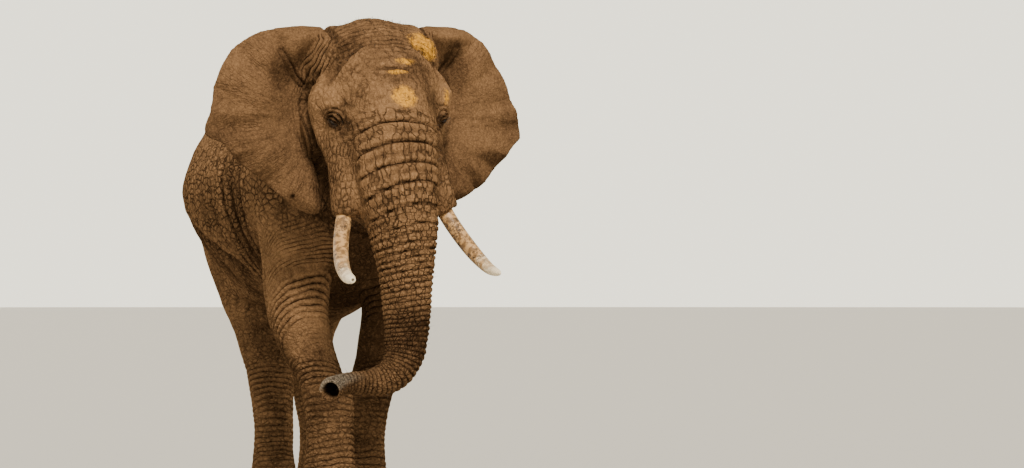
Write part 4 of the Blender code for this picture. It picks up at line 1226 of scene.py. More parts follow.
# lighter and darker places of the face, partly the hide's own tone and partly painted light where the
# brow, the sheath and the upper trunk catch the light, with painted shade in the hollow before the eye:
# middle, radii, and how much lighter
FACE_TONES = (
    ((0.36, -1.74, 2.61), (0.07, 0.10, 0.07), 0.36),
    ((0.32, -1.87, 2.05), (0.13, 0.20, 0.20), 0.24),
    ((0.00, -2.05, 2.20), (0.30, 0.25, 0.42), 0.28),
    ((0.20, -1.80, 2.45), (0.12, 0.15, 0.12), 0.06),
    ((0.318, -1.85, 2.42), (0.030, 0.06, 0.045), -0.26),
    ((0.20, -1.75, 2.66), (0.20, 0.30, 0.12), 0.05),
)
# the same for the left ear: painted shade in its hollow and painted light on its upper rim
EAR_TONES = (
    ((0.56, -1.45, 2.82), (0.11, 0.14, 0.08), -0.26),
    ((0.60, -1.45, 2.98), (0.24, 0.14, 0.035), 0.16),
)
# patches of ochre dust on the forehead, the crown and the left temple: middle, radii, how thick
DUST_PATCHES = (
    ((0.025, -1.99, 2.574), (0.074, 0.14, 0.064), 1.7),
    ((0.080, -1.86, 2.800), (0.075, 0.15, 0.022), 1.1),
    ((0.020, -1.90, 2.735), (0.085, 0.15, 0.016), 1.0),
    ((0.290, -1.69, 2.887), (0.100, 0.14, 0.085), 1.1),
    ((0.215, -1.66, 2.940), (0.075, 0.14, 0.040), 0.9),
    ((0.372, -1.75, 2.583), (0.026, 0.08, 0.060), 1.0),
    ((0.470, -1.50, 2.569), (0.050, 0.08, 0.030), 0.8),
)


def light_parts(hide):
    """How light the hide is painted before the painted shade: its own tone on the face, the trunk, the
    legs and the flanks, with painted light where the light falls on them.
    """
    face, place = hide.face, hide.place
    _, y, z = place.T
    body = (1 - hide.ear) * (1 - hide.skull)
    tone = 0.50 + 0.06 * noise(hide.grain, 0.35, 41)
    tone += 0.12 * hide.skull * (1 - hide.trunk) + spots(face, FACE_TONES)
    # painted light and shade: raised skin is lighter and sunken skin darker
    tone += np.clip(hide.relief / 0.02, -0.28, 0.22)
    tone += hide.skull * (0.09 * noise(face, 0.05, 55) + 0.16 * noise(hide.head, 0.022, 56))
    tone += 0.32 * span(hide.down, 1.20, 1.78, 0.12) * hide.trunk
    tone -= 0.36 * span(hide.down, 1.80, 2.15, 0.14) * hide.trunk
    arms = np.maximum(hide.leg["foreleg_right"], hide.leg["foreleg_left"]) * ramp(z, 0.9, 1.3)
    # painted light: the forearms and the lower hind legs are lighter
    tone += 0.15 * arms + 0.10 * (1 - ramp(z, 0.5, 1.3)) * (y > 0.3)
    # painted shadow: the left foreleg is darker above the foot, where the head's shadow falls
    tone -= 0.22 * hide.leg["foreleg_left"] * ramp(z, 0.4, 0.7)
    # painted light: the sides behind the shoulders, the upper flanks, the right upper arm and the top
    # of the head are lighter, where the light falls
    tone += 0.27 * body * ramp(y, -0.9, -0.2) * ramp(np.abs(hide.normal[:, 0]), 0.3, 0.8)
    tone += 0.18 * spot(np.abs(place), (0.66, 0.20, 2.40), (0.16, 0.60, 0.16))
    tone += 0.14 * body * spot(place, (-0.42, -1.05, 1.62), (0.20, 0.40, 0.20))
    tone += 0.10 * (1 - hide.ear) * spot(face, (0.00, -1.60, 3.02), (0.24, 0.25, 0.09))
    return tone


def ear_tone(hide):
    """How much lighter the ears are: mottled, with darker lobes, painted shadow over their outer parts,
    painted shade in the hollows and painted light on the upper rim.
    """
    mottle = 0.12 * noise(hide.head, 0.26, 53) + 0.05 * noise(hide.head, 0.07, 54)
    lobe = 0.16 * (1 - ramp(hide.face[:, 2], 1.9, 2.6))
    # painted shadow over the outer part of each ear
    edge = 0.24 * spot(hide.face, (0.98, -1.40, 2.42), (0.16, 0.30, 0.10))
    return hide.ear * (mottle - lobe - edge + spots(hide.head, EAR_TONES))


def jaw_gap(hide):
    """1 in the gap between the jaw and the ear, where painted shade darkens the hide."""
    reach, depth, height = hide.face.T
    gap = span(depth, -1.68, -1.20, 0.02) * span(height, 1.86, 2.20, 0.03)
    return gap * (1 - ramp(reach, 0.335, 0.355)) * ramp(reach, 0.15, 0.25)


def shaded_parts(hide):
    """How much darker the hide is where little light comes: hollows, the belly, inside the legs."""
    x, y, z = hide.place.T
    behind = span(y, -0.70, -0.30, 0.10) * span(z, 1.15, 2.15, 0.12)
    dark = 0.20 * behind * (1 - hide.ear) * (np.abs(x) > 0.3)
    chest = span(y, -1.5, -0.5, 0.1) * span(z, 0.9, 1.9, 0.12) * span(x, -0.10, 0.36, 0.05)
    chest *= ramp(-hide.normal[:, 1], 0.0, 0.5)
    dark += 0.46 * chest * (1 - hide.trunk) * (1 - hide.skull)
    under = ramp(-hide.normal[:, 2], 0.15, 0.60) * span(y, -1.5, 1.5, 0.1)
    dark += 0.35 * under * (1 - hide.trunk)
    stations, levels = np.array(BARREL_FOLD[::-1]).T
    drop = np.interp(y, stations, levels) - z
    below = span(y, -0.15, 0.75, 0.08) * span(drop, 0.02, 0.30, 0.06) * (np.abs(x) > 0.3)
    dark += 0.38 * hide.barrel + 0.14 * below
    dark += 0.30 * hide.any_leg * ramp(-hide.leg_angle, 0.7, 1.5) * ramp(z, 0.4, 1.0)
    root = span(hide.beyond, 0.0, 0.08, 0.02) * span(hide.face[:, 2], 1.95, 2.42, 0.08)
    dark += 0.22 * root * (hide.face[:, 1] < -1.30)
    return dark + 0.85 * hide.shade + 0.5 * jaw_gap(hide)


def ochre_dust(hide):
    """How thick the ochre dust lies: in patches, and thinly on the back."""
    dust = spots(hide.head, DUST_PATCHES)
    dust += 0.20 * ramp(hide.normal[:, 2], 0.55, 0.95) * (1 - hide.trunk)
    return np.clip(dust, 0, 1.2)


def thinned(skin, mask, count):
    """Merges the smallest faces of the masked points, until a number of triangles is left."""
    group = skin.vertex_groups.new(name="may_thin")
    group.add(np.flatnonzero(mask).tolist(), 1.0, "REPLACE")
    applied(skin, "DECIMATE", ratio=count / triangle_count(skin), vertex_group="may_thin")
    skin.vertex_groups.clear()


def stored(mesh, name):
    """Reads back a number stored for each point."""
    values = np.empty(len(mesh.vertices), np.float32)
    mesh.attributes[name].data.foreach_get("value", values)
    return values


def write_notes(skin, hide):
    """Stores what the material reads at each point, and how much care the thinning takes there."""
    # painted shade: the gap beside the jaw and the groove along the ear's root are painted near black
    hide.wet_eye_and_painted_shade = np.max([hide.wet_eye_and_painted_shade, 0.30 * jaw_gap(hide), 0.60 * hide.gap], axis=0)
    strength, phase, spacing = hide.folds
    notes = {
        "grey": hide.grey,
        "fold_strength": strength,
        "fold_phase": phase,
        "fold_spacing": spacing,
        "net_share": hide.net_share,
        "ring_share": hide.ring_share,
        # tone: the hide's own lightness with painted light and painted shade added
        "tone": np.clip(light_parts(hide) + ear_tone(hide) - shaded_parts(hide), 0, 1),
        "dust": ochre_dust(hide),
        # dark: painted shade, near black in the nostrils, the eye slits, the torn hole and the gaps by
        # the jaw and the ear
        "dark": np.clip(hide.nostril * 1.5 + hide.wet_eye_and_painted_shade, 0, 1),
        "ear": hide.ear,
        "grain": hide.grain,
        "net_place": hide.net_place,
        "ring_place": hide.ring_place,
    }
    fine = np.max([hide.skull, hide.trunk, 0.9 * hide.ear, hide.wet_eye_and_painted_shade], axis=0) > 0.3
    seats = [np.array(turned(mirrored(EYE_SEAT, side))) for side in SIDES.values()]
    from_eye = np.min([np.linalg.norm(hide.place - seat, axis=1) for seat in seats], axis=0)
    notes["care"] = fine + 1.0 * (from_eye < BY_EYE)
    for name, values in notes.items():
        note(skin.data, name, values)


def make_skin():
    """The whole skin: grown, formed, folded, noted for its material, and thinned."""
    skin = grown_skin()
    eyes = [turned(mirrored(EYE_SEAT, side)) for side in SIDES.values()]
    tip = turned(trunk_line(2)[-1][0])
    refined(skin, [(seat, AROUND_EYE) for seat in (*eyes, tip)])
    refined(skin, [(seat, BY_EYE) for seat in eyes])
    hide = Hide(skin.data)
    forms = (form_face, form_mouth, form_tusk_lips, form_ears, form_body, form_trunk_tip, form_feet)
    for form in (*forms, fold_skin, form_eyes, net_notes):
        form(hide)
    write_notes(skin, hide)
    flat_soles(skin)
    care = stored(skin.data, "care")
    body = triangles_of(skin, care < 0.5)
    thinned(skin, care < 0.5, triangle_count(skin) - body + BODY_TRIANGLES)
    care = stored(skin.data, "care")
    thinned(skin, (care > 0.5) & (care < 1.5), SKIN_TRIANGLES)
    return skin


def triangles_of(skin, mask):
    """How many triangles have all their corners in a mask."""
    skin.data.calc_loop_triangles()
    corners = np.empty(len(skin.data.loop_triangles) * 3, np.int32)
    skin.data.loop_triangles.foreach_get("vertices", corners)
    return int(mask[corners].reshape(-1, 3).all(axis=1).sum())


# ---- Painting tools ----------------------------------------------------------------------------
def node(tree, kind, inputs=None, **settings):
    """Adds a node, sets it up, and links or fills its inputs."""
    made = tree.nodes.new(kind)
    for key, value in settings.items():
        setattr(made, key, value)
    for key, value in (inputs or {}).items():
        if isinstance(value, bpy.types.NodeSocket):
            tree.links.new(value, made.inputs[key])
        else:
            made.inputs[key].default_value = value
    return made


def tree_of(*values):
    """The node tree of the first socket among some sockets and numbers."""
    return next(value.id_data for value in values if isinstance(value, bpy.types.NodeSocket))


def sums(operation, first, second=0.0, clamp=False):
    """One step of arithmetic on sockets or numbers."""
    inputs = {0: first, 1: second}
    settings = {"operation": operation, "use_clamp": clamp}
    return node(tree_of(first, second), "ShaderNodeMath", inputs, **settings).outputs[0]


def vector_sums(operation, first, second):
    """One step of arithmetic on vectors."""
    inputs = {0: first, 1: second}
    return node(tree_of(first), "ShaderNodeVectorMath", inputs, operation=operation).outputs[0]


times, plus, less, most = (partial(sums, kind) for kind in ("MULTIPLY", "ADD", "SUBTRACT", "MAXIMUM"))


def fitted(value, low, high, start=0.0, end=1.0):
    """A number carried from one range to another, and held inside it."""
    inputs = {"Value": value, "From Min": low, "From Max": high, "To Min": start, "To Max": end}
    kind = "ShaderNodeMapRange"
    return node(tree_of(value), kind, inputs, interpolation_type="SMOOTHSTEP").outputs[0]


def mixed(share, first, second):
    """One colour laid over another."""
    tree = tree_of(share)
    made = node(tree, "ShaderNodeMix", {0: share}, data_type="RGBA")
    for socket, colour in ((6, first), (7, second)):
        if isinstance(colour, bpy.types.NodeSocket):
            tree.links.new(colour, made.inputs[socket])
        else:
            made.inputs[socket].default_value = (*colour, 1.0)
    return made.outputs[2]


def noted(tree, name, vector=False):
    """A number or a vector that the mesh holds at each point."""
    made = node(tree, "ShaderNodeAttribute", attribute_name=name)
    return made.outputs["Vector" if vector else "Fac"]


def cloud(place, scale, detail=4.0, roughness=0.55):
    """Soft noise from 0 to 1."""
    inputs = {"Vector": place, "Scale": scale, "Detail": detail, "Roughness": roughness}
    return node(tree_of(place), "ShaderNodeTexNoise", inputs).outputs["Fac"]


def cell_walls(place, scale, width):
    """1 on the walls between cells, and 0 beyond a share of a cell from them."""
    inputs = {"Vector": place, "Scale": scale}
    found = node(tree_of(place), "ShaderNodeTexVoronoi", inputs, feature="DISTANCE_TO_EDGE")
    return fitted(found.outputs["Distance"], 0.0, width, 1.0, 0.0)


def new_material(name, roughness, specular=0.3):
    """A material, its node tree and its shader."""
    made = bpy.data.materials.new(name)
    made.use_nodes = True
    shader = made.node_tree.nodes["Principled BSDF"]
    shader.inputs["Roughness"].default_value = roughness
    shader.inputs["Specular IOR Level"].default_value = specular
    return made, made.node_tree, shader


def set_relief(shader, height):
    """Relief in metres, seen only in how the surface shades."""
    tree = tree_of(height)
    bump = node(tree, "ShaderNodeBump", {"Height": height, "Distance": 1.0, "Strength": 1.0})
    tree.links.new(bump.outputs[0], shader.inputs["Normal"])


# ---- Finishes ----------------------------------------------------------------------------------
def hide_finish():
    """Dry brown hide, with painted shade darkening its cracks, creases, slits, nostrils and gaps, and
    ochre dust on top.
    """
    material, tree, shader = new_material("hide", 0.88, 0.0)
    grain = noted(tree, "grain", vector=True)
    sway = node(tree, "ShaderNodeTexNoise", {"Vector": grain, "Scale": 9.0, "Detail": 3.0})
    sway = vector_sums("SUBTRACT", sway.outputs["Color"], (0.5, 0.5, 0.5))

    def swayed(name, amount):
        shove = vector_sums("MULTIPLY", sway, (amount,) * 3)
        return vector_sums("ADD", noted(tree, name, vector=True), shove)

    place = swayed("grain", 0.04)
    away = sums("PINGPONG", noted(tree, "fold_phase"), 0.5)
    away = times(away, noted(tree, "fold_spacing"))
    reach = times(noted(tree, "fold_spacing"), 0.115)
    reach = times(reach, fitted(cloud(place, 22.0), 0.25, 0.75, 0.45, 1.35))
    crease = less(1.0, sums("DIVIDE", away, reach), clamp=True)
    crease = sums("POWER", crease, 0.7)
    crease = times(crease, noted(tree, "fold_strength"))

    rings = swayed("ring_place", 1.2)
    blocks = cell_walls(rings, 1.0, 0.12)
    beads = cell_walls(rings, 2.3, 0.22)
    ring_share = noted(tree, "ring_share")
    net = swayed("net_place", 1.1)
    plates = cell_walls(net, 1.0, 0.22)
    chips = cell_walls(net, 2.1, 0.24)
    net_share = noted(tree, "net_share")
    coarse = most(times(blocks, ring_share), times(plates, net_share))
    small = most(times(beads, ring_share), times(chips, net_share))
    strong = fitted(cloud(place, 11.0, 3.0), 0.30, 0.60, 0.60, 1.1)
    coarse = times(coarse, strong, clamp=True)
    domes = cell_walls(net, 1.0, 0.55)
    domes = times(domes, net_share)
    swell = sums("PINGPONG", noted(tree, "fold_phase"), 0.5)
    swell = times(swell, less(1.0, swell))
    swell = times(swell, noted(tree, "fold_spacing"))
    swell = times(swell, noted(tree, "fold_strength"))
    specks = cell_walls(place, 95.0, 0.34)
    lines = cell_walls(place, 46.0, 0.22)
    fine = cloud(place, 150.0, 6.0, 0.7)
    grit = cloud(place, 70.0, 5.0, 0.75)
    patches = cloud(place, 4.5, 5.0, 0.6)
    mottle = cloud(place, 30.0, 6.0, 0.7)

    light = plus(noted(tree, "tone"), fitted(patches, 0.25, 0.75, -0.06, 0.06))
    uneven = less(1.0, times(noted(tree, "ear"), 0.45))
    light = plus(light, times(fitted(mottle, 0.25, 0.75, -0.24, 0.24), uneven))
    light = plus(light, fitted(grit, 0.25, 0.75, -0.24, 0.24), clamp=True)
    colour = mixed(light, HIDE_DARK, HIDE_LIGHT)
    colour = mixed(times(noted(tree, "grey"), 0.75), colour, TIP_GREY)
    loose = fitted(mottle, 0.30, 0.70, 0.45, 1.25)
    loose = plus(loose, fitted(grit, 0.30, 0.70, -0.30, 0.30))
    dust = times(noted(tree, "dust"), loose)
    dust = fitted(dust, 0.24, 0.95, 0.0, 0.90)
    colour = mixed(dust, colour, OCHRE_DUST)
    # painted shade: the cracks of the net and the rings, the creases of the folds, and the slits,
    # nostrils and gaps are darkened towards the shade brown
    dark = times(coarse, 0.88)
    for share, amount in ((small, 0.45), (lines, 0.34), (specks, 0.20)):
        dark = most(dark, times(share, amount))
    dark = most(dark, times(crease, 1.05), clamp=True)
    dark = most(dark, noted(tree, "dark"))
    tree.links.new(mixed(dark, colour, PAINTED_SHADE_BROWN), shader.inputs["Base Color"])
    tree.links.new(fitted(mottle, 0.2, 0.8, 0.74, 0.94), shader.inputs["Roughness"])

    height = times(crease, -0.0060)
    reliefs = (
        (coarse, -0.0095),
        (small, -0.0030),
        (lines, -0.0014),
        (specks, -0.0007),
        (fine, 0.0010),
        (mottle, 0.0030),
        (grit, 0.0026),
        (domes, -0.0085),
        (swell, 0.14),
    )
    for share, depth in reliefs:
        height = plus(height, times(share, depth))
    set_relief(shader, height)
    return material


def ivory_finish():
    """Ivory: white and worn towards the point, stained brown and pitted towards the lip, with painted
    shade in the hollow of the broken point.
    """
    material, tree, shader = new_material("ivory", 0.42, 0.45)
    place = node(tree, "ShaderNodeTexCoord").outputs["Object"]
    lengthwise = noted(tree, "lengthwise", vector=True)
    root = noted(tree, "from_root")
    streaks = cloud(lengthwise, 60.0, 5.0, 0.7)
    pits = cloud(place, 60.0, 4.0, 0.65)
    stain = plus(root, fitted(cloud(place, 16.0), 0.2, 0.8, -0.35, 0.35))
    colour = mixed(fitted(stain, 0.15, 0.85), IVORY_STAIN, IVORY_WHITE)
    colour = mixed(fitted(streaks, 0.50, 0.72, 0.0, 0.45), colour, IVORY_STAIN)
    bare = less(1.0, root)
    grime = fitted(cloud(place, 26.0, 5.0, 0.65), 0.45, 0.55)
    colour = mixed(times(times(grime, bare), 0.88), colour, TUSK_GRIME)
    marks = times(fitted(pits, 0.50, 0.58), fitted(cloud(place, 7.0, 2.0), 0.46, 0.58))
    # pits, and painted shade in the hollow of the broken point
    marks = most(times(marks, 0.85), noted(tree, "dark"))
    tree.links.new(mixed(marks, colour, TUSK_PIT_AND_SHADE), shader.inputs["Base Color"])
    height = times(streaks, 0.0016)
    height = less(height, times(marks, 0.0016))
    set_relief(shader, height)
    tree.links.new(fitted(streaks, 0.3, 0.7, 0.34, 0.60), shader.inputs["Roughness"])
    return material


def nail_finish():
    """Dull horn with upright ridges, pale at the worn edge."""
    material, tree, shader = new_material("toenail", 0.60, 0.30)
    place = node(tree, "ShaderNodeTexCoord").outputs["Object"]
    drawn = node(tree, "ShaderNodeMapping", {"Vector": place, "Scale": (1.0, 1.0, 0.18)}).outputs[0]
    ridges = cloud(drawn, 150.0, 4.0, 0.6)
    level = node(tree, "ShaderNodeSeparateXYZ", {0: place}).outputs[2]
    pale = times(fitted(level, 0.09, 0.02), fitted(ridges, 0.3, 0.7, 0.5, 1.0))
    colour = mixed(pale, NAIL_BROWN, NAIL_PALE)
    colour = mixed(fitted(cloud(place, 30.0), 0.45, 0.70, 0.0, 0.6), colour, HIDE_DARK)
    tree.links.new(colour, shader.inputs["Base Color"])
    set_relief(shader, times(ridges, 0.0022))
    return material


def eye_finish():
    """A dark wet eye: black pupil, amber brown iris with fine spokes, and a brown white."""
    material, tree, shader = new_material("eye", 0.16, 0.22)
    shader.inputs["Coat Weight"].default_value = 0.18
    shader.inputs["Coat Roughness"].default_value = 0.03
    from_pupil = noted(tree, "from_pupil")
    spokes = cloud(noted(tree, "spokes", vector=True), 9.0, 3.0)
    iris = mixed(fitted(spokes, 0.3, 0.7), IRIS_DARK, IRIS_AMBER)
    colour = mixed(fitted(from_pupil, 0.20, 0.26), PUPIL, iris)
    colour = mixed(fitted(from_pupil, 0.54, 0.62), colour, EYE_WHITE)
    tree.links.new(colour, shader.inputs["Base Color"])
    return material


def hair_finish(name, dark, light):
    """Coarse hair, a little lighter here and there along each strand."""
    material, tree, shader = new_material(name, 0.45, 0.40)
    place = node(tree, "ShaderNodeTexCoord").outputs["Object"]
    colour = mixed(fitted(cloud(place, 60.0), 0.35, 0.65), dark, light)
    tree.links.new(colour, shader.inputs["Base Color"])
    return material


# ---- Pieces beside the skin --------------------------------------------------------------------
def tusk(name, side):
    """A tusk, straight at the lip and curving up and in. The right one has lost its point."""
    mesh = bmesh.new()
    rows = smooth_through(TUSK, 8)
    if side < 0:
        rows[:, 3] = np.maximum(rows[:, 3], BROKEN_TIP)
    else:
        rows[:, 3] *= 1 - TIP_TAPER * np.linspace(0, 1, len(rows)) ** 4
    rings, shares = [], []
    for k, row in enumerate(rows):
        ahead = Vector(rows[min(k + 1, len(rows) - 1)][:3]) - Vector(rows[max(k - 1, 0)][:3])
        across = ahead.cross(Vector((0, 0, 1))).normalized()
        up = across.cross(ahead).normalized()
        centre = Vector(row[:3])
        share = k / (len(rows) - 1)
        centre.x += float(np.interp(share, (0, 1), TUSK_SWAY[side]))
        ring = []
        for t in (math.tau * j / TUSK_SIDES for j in range(TUSK_SIDES)):
            lump = 1 + 0.022 * math.sin(3 * t + 6 * share) * math.sin(9 * share + t)
            ring.append(centre + (across * math.cos(t) + up * math.sin(t)) * row[3] * lump)
        rings.append([mirrored(point, side) for point in ring])
        shares += [share] * TUSK_SIDES
    loft(mesh, rings)
    mesh.verts.ensure_lookup_table()
    ends = [face for face in mesh.faces if len(face.verts) == TUSK_SIDES]
    point = max(ends, key=lambda face: -face.calc_center_median().y)
    dark = [0.0] * len(mesh.verts)
    if side < 0:
        for thickness, depth in ((0.006, 0.004), (0.008, 0.0), (0.002, -0.020)):
            sizes = {"thickness": thickness, "depth": depth, "use_even_offset": True}
            bmesh.ops.inset_region(mesh, faces=[point], **sizes)
            # painted shade: the sunken end of the broken point is noted dark
            dark += [float(depth < 0)] * TUSK_SIDES
            shares += [1.0] * TUSK_SIDES
    bmesh.ops.rotate(mesh, verts=mesh.verts, cent=NECK_PIVOT, matrix=head_turn())
    made = object_of(name, mesh)
    angles = np.arange(len(shares)) % TUSK_SIDES * math.tau / TUSK_SIDES
    shares = np.array(shares)
    lengthwise = np.stack([np.cos(angles) * 0.05, np.sin(angles) * 0.05, shares * 0.08], axis=1)
    note(made.data, "from_root", np.clip((shares - 0.45) / 0.42, 0, 1))
    note(made.data, "lengthwise", lengthwise)
    note(made.data, "dark", np.array(dark))
    return made


def eye(name, hide_frame):
    """An eyeball with a clear bulge in front, looking forward and out."""
    seat, forward, up, out = (Vector(v) for v in hide_frame)
    gaze = (out * 0.9 + forward * 0.42 - up * 0.10).normalized()
    mesh = bmesh.new()
    bmesh.ops.create_uvsphere(mesh, u_segments=40, v_segments=28, radius=EYE_RADIUS)
    for vert in mesh.verts:
        rise = max(0.0, vert.co.z / EYE_RADIUS - 0.82) / 0.18
        vert.co.z += 0.0022 * rise * (2 - rise)
    heights = np.array([vert.co[:] for vert in mesh.verts]) / EYE_RADIUS
    place = Matrix.Translation(seat) @ gaze.to_track_quat("Z", "Y").to_matrix().to_4x4()
    bmesh.ops.transform(mesh, matrix=place, verts=mesh.verts)
    made = object_of(name, mesh)
    from_pupil = np.hypot(heights[:, 0], heights[:, 1]) + 2.0 * (heights[:, 2] < 0)
    angle = np.arctan2(heights[:, 1], heights[:, 0])
    note(made.data, "from_pupil", from_pupil)
    spokes = np.stack([np.cos(angle), np.sin(angle), from_pupil * 0.2], axis=1)
    note(made.data, "spokes", spokes)
    return made


def nail_places(leg_name):
    """Where each toenail of a foot sits, and the way that it faces round the foot."""
    x, y, _, half_width, half_depth = LEGS[leg_name][-2]
    count, spread = NAILS[leg_name.split("_")[0]]
    places = []
    for k in range(count):
        angle = math.radians(-90 + spread * (k / (count - 1) - 0.5))
        seat = (x + half_width * math.cos(angle), y + half_depth * math.sin(angle), NAIL_HEIGHT)
        places.append((seat, angle))
    return places


def toenails(leg_name):
    """The nails of one foot: shields of horn, arched at the top and worn level at the bottom."""
    mesh = bmesh.new()
    for seat, angle in nail_places(leg_name):
        shield = bmesh.new()
        bmesh.ops.create_cube(shield, size=1.0)
        bmesh.ops.subdivide_edges(shield, edges=shield.edges[:], cuts=7, use_grid_fill=True)
        for vert in shield.verts:
            x, y, z = vert.co * 2
            arch = 1 - 0.38 * max(z, 0.0) ** 2
            vert.co = (
                x * arch * math.sqrt(1 - 0.42 * y * y) * (1 - 0.10 * min(z, 0.0) ** 2),
                y * math.sqrt(1 - 0.45 * x * x) * math.sqrt(1 - 0.35 * z * z),
                z * math.sqrt(1 - 0.42 * x * x) * math.sqrt(1 - 0.30 * y * y),
            )
        place = Matrix.LocRotScale(
            Vector(seat),
            Euler((math.radians(-10), 0.0, angle + math.pi / 2), "XYZ"),
            Vector((NAIL_WIDTH / 2, NAIL_THICKNESS / 2, NAIL_TALL / 2)),
        )
        bmesh.ops.transform(shield, matrix=place, verts=shield.verts)
        smoothed(shield, shield.verts)
        copy = bpy.data.meshes.new("shield")
        shield.to_mesh(copy)
        shield.free()
        mesh.from_mesh(copy)
        bpy.data.meshes.remove(copy)
    return object_of("toenails_" + leg_name, mesh)


# ---- Hair --------------------------------------------------------------------------------------
def strands(name, roots, ways, sags, lengths, radii, patches, steps=5, sides=3):
    """Tapering bent hairs as one mesh. Each carries a small patch of its own on the map of the skin."""
    count = len(roots)
    shares = np.linspace(0, 1, steps + 1)
    ways = ways / np.linalg.norm(ways, axis=1)[:, None]
    line_of = roots[:, None] + lengths[:, None, None] * (
        ways[:, None] * shares[None, :, None] + sags[:, None] * (shares**2)[None, :, None]
    )
    helper = np.where(np.abs(ways[:, 2:]) > 0.8, (1.0, 0.0, 0.0), (0.0, 0.0, 1.0))
    across = np.cross(ways, helper)
    across /= np.linalg.norm(across, axis=1)[:, None]
    other = np.cross(ways, across)
    thick = radii[:, None] * (1 - 0.85 * shares**1.5)
    turns = math.tau * np.arange(sides) / sides
    ring = across[:, None] * np.cos(turns)[None, :, None]
    ring = ring + other[:, None] * np.sin(turns)[None, :, None]
    points = line_of[:, :, None] + thick[:, :, None, None] * ring[:, None]
    first = np.arange(count)[:, None, None] * (steps + 1) * sides
    rung = first + np.arange(steps)[None, :, None] * sides
    around = np.arange(sides)[None, None, :]
    low, next_low = rung + around, rung + (around + 1) % sides
    walls = np.stack([low, next_low, next_low + sides, low + sides], axis=-1).reshape(-1, 4)
    caps = [tuple(int(start) + k for k in range(sides))[::-1] for start in first[:, 0, 0]]
    tips = [tuple(int(start) + steps * sides + k for k in range(sides)) for start in first[:, 0, 0]]
    mesh = bpy.data.meshes.new(name)
    mesh.from_pydata(points.reshape(-1, 3).tolist(), [], walls.tolist() + caps + tips)
    corner_vert = np.empty(len(mesh.loops), int)
    mesh.loops.foreach_get("vertex_index", corner_vert)
    strand = corner_vert // ((steps + 1) * sides)
    rung = corner_vert % ((steps + 1) * sides) // sides
    turn = corner_vert % sides
    uv = patches[strand] + PATCH * np.stack([turn / sides - 0.5, rung / steps - 0.5], axis=1)
    layer = mesh.uv_layers.new(name="OFBake")
    layer.data.foreach_set("uv", uv.astype(np.float32).ravel())
    mesh.shade_smooth()
    made = bpy.data.objects.new(name, mesh)
    bpy.context.scene.collection.objects.link(made)
    return made


def skin_map(points, centre):
    """Where points lie on an unwrap of the form round an upright axis: angle across, height up."""
    angle = np.arctan2(points[:, 0] - centre[0], -(points[:, 1] - centre[1]))
    height = (points[:, 2] - centre[2]) / (2 * centre[3])
    return np.stack([0.5 + angle / math.tau * 0.98, np.clip(0.5 + height, 0.01, 0.99)], axis=1)


def tail_hair(rng):
    """The flat brush: stiff hairs down each edge of the tail's end, and a tuft below it."""
    end = TAIL[-1]
    count = TAIL_HAIRS
    drop = rng.uniform(0.0, 1.0, count) ** 0.8
    top = BRUSH_TOP + 0.02
    edge = np.sign(rng.uniform(-1, 1, count))
    roots = np.stack(
        [
            end[0] + rng.uniform(-0.010, 0.010, count),
            end[1] + edge * rng.uniform(0.006, 0.017, count),
            top - 0.10 * drop,
        ],
        axis=1,
    )
    lengths = rng.uniform(0.20, 0.34, count)
    spread = rng.normal(0, 0.035, count)
    ways = np.stack([spread, edge * rng.uniform(0.03, 0.15, count), -np.ones(count)], axis=1)
    spread = rng.normal(0, 0.02, count)
    sags = np.stack([spread, -edge * rng.uniform(0.0, 0.12, count), np.zeros(count)], axis=1)
    radii = rng.uniform(0.0009, 0.0016, count)
    patches = skin_map(roots, (end[0], end[1], top - 0.05, 0.10))
    return strands("tail_hair", roots, ways, sags, lengths, radii, patches, steps=7, sides=4)


def bristles(skin_hide, rng):
    """Sparse stiff bristles on the crown, the trunk and the lower lip."""
    face = skin_hide.face
    crown = skin_hide.skull * (face[:, 2] > 2.80) * (face[:, 1] < -1.30)
    lip = skin_hide.skull * (face[:, 2] < 1.92) * (face[:, 0] < 0.14) * (face[:, 1] > -1.86)
    front = skin_hide.trunk * (skin_hide.ahead > 0) * (skin_hide.down > 0.5) * 0.35
    chosen = []
    for mask, count in ((crown, CROWN_BRISTLES), (lip, LIP_BRISTLES), (front, TRUNK_BRISTLES)):
        allowed = np.flatnonzero(mask > rng.uniform(0, 1, len(mask)))
        chosen.append(rng.choice(allowed, count, replace=False))
    chosen = np.concatenate(chosen)
    usual = np.where(face[chosen, 2] > 2.8, 0.026, 0.030)
    lengths = usual * rng.uniform(0.5, 1.3, len(chosen))
    normal = skin_hide.normal[chosen]
    ways = normal + np.array((0.0, 0.10, 0.25)) + rng.normal(0, 0.28, normal.shape)
    sags = np.array((0.0, 0.0, -0.15)) + rng.normal(0, 0.10, normal.shape)
    roots = skin_hide.place[chosen] - normal * 0.002
    patches = skin_map(skin_hide.head[chosen], HEAD_MAP)
    radii = rng.uniform(0.0005, 0.0009, len(chosen))
    return strands("bristles", roots, ways, sags, lengths, radii, patches, steps=3)


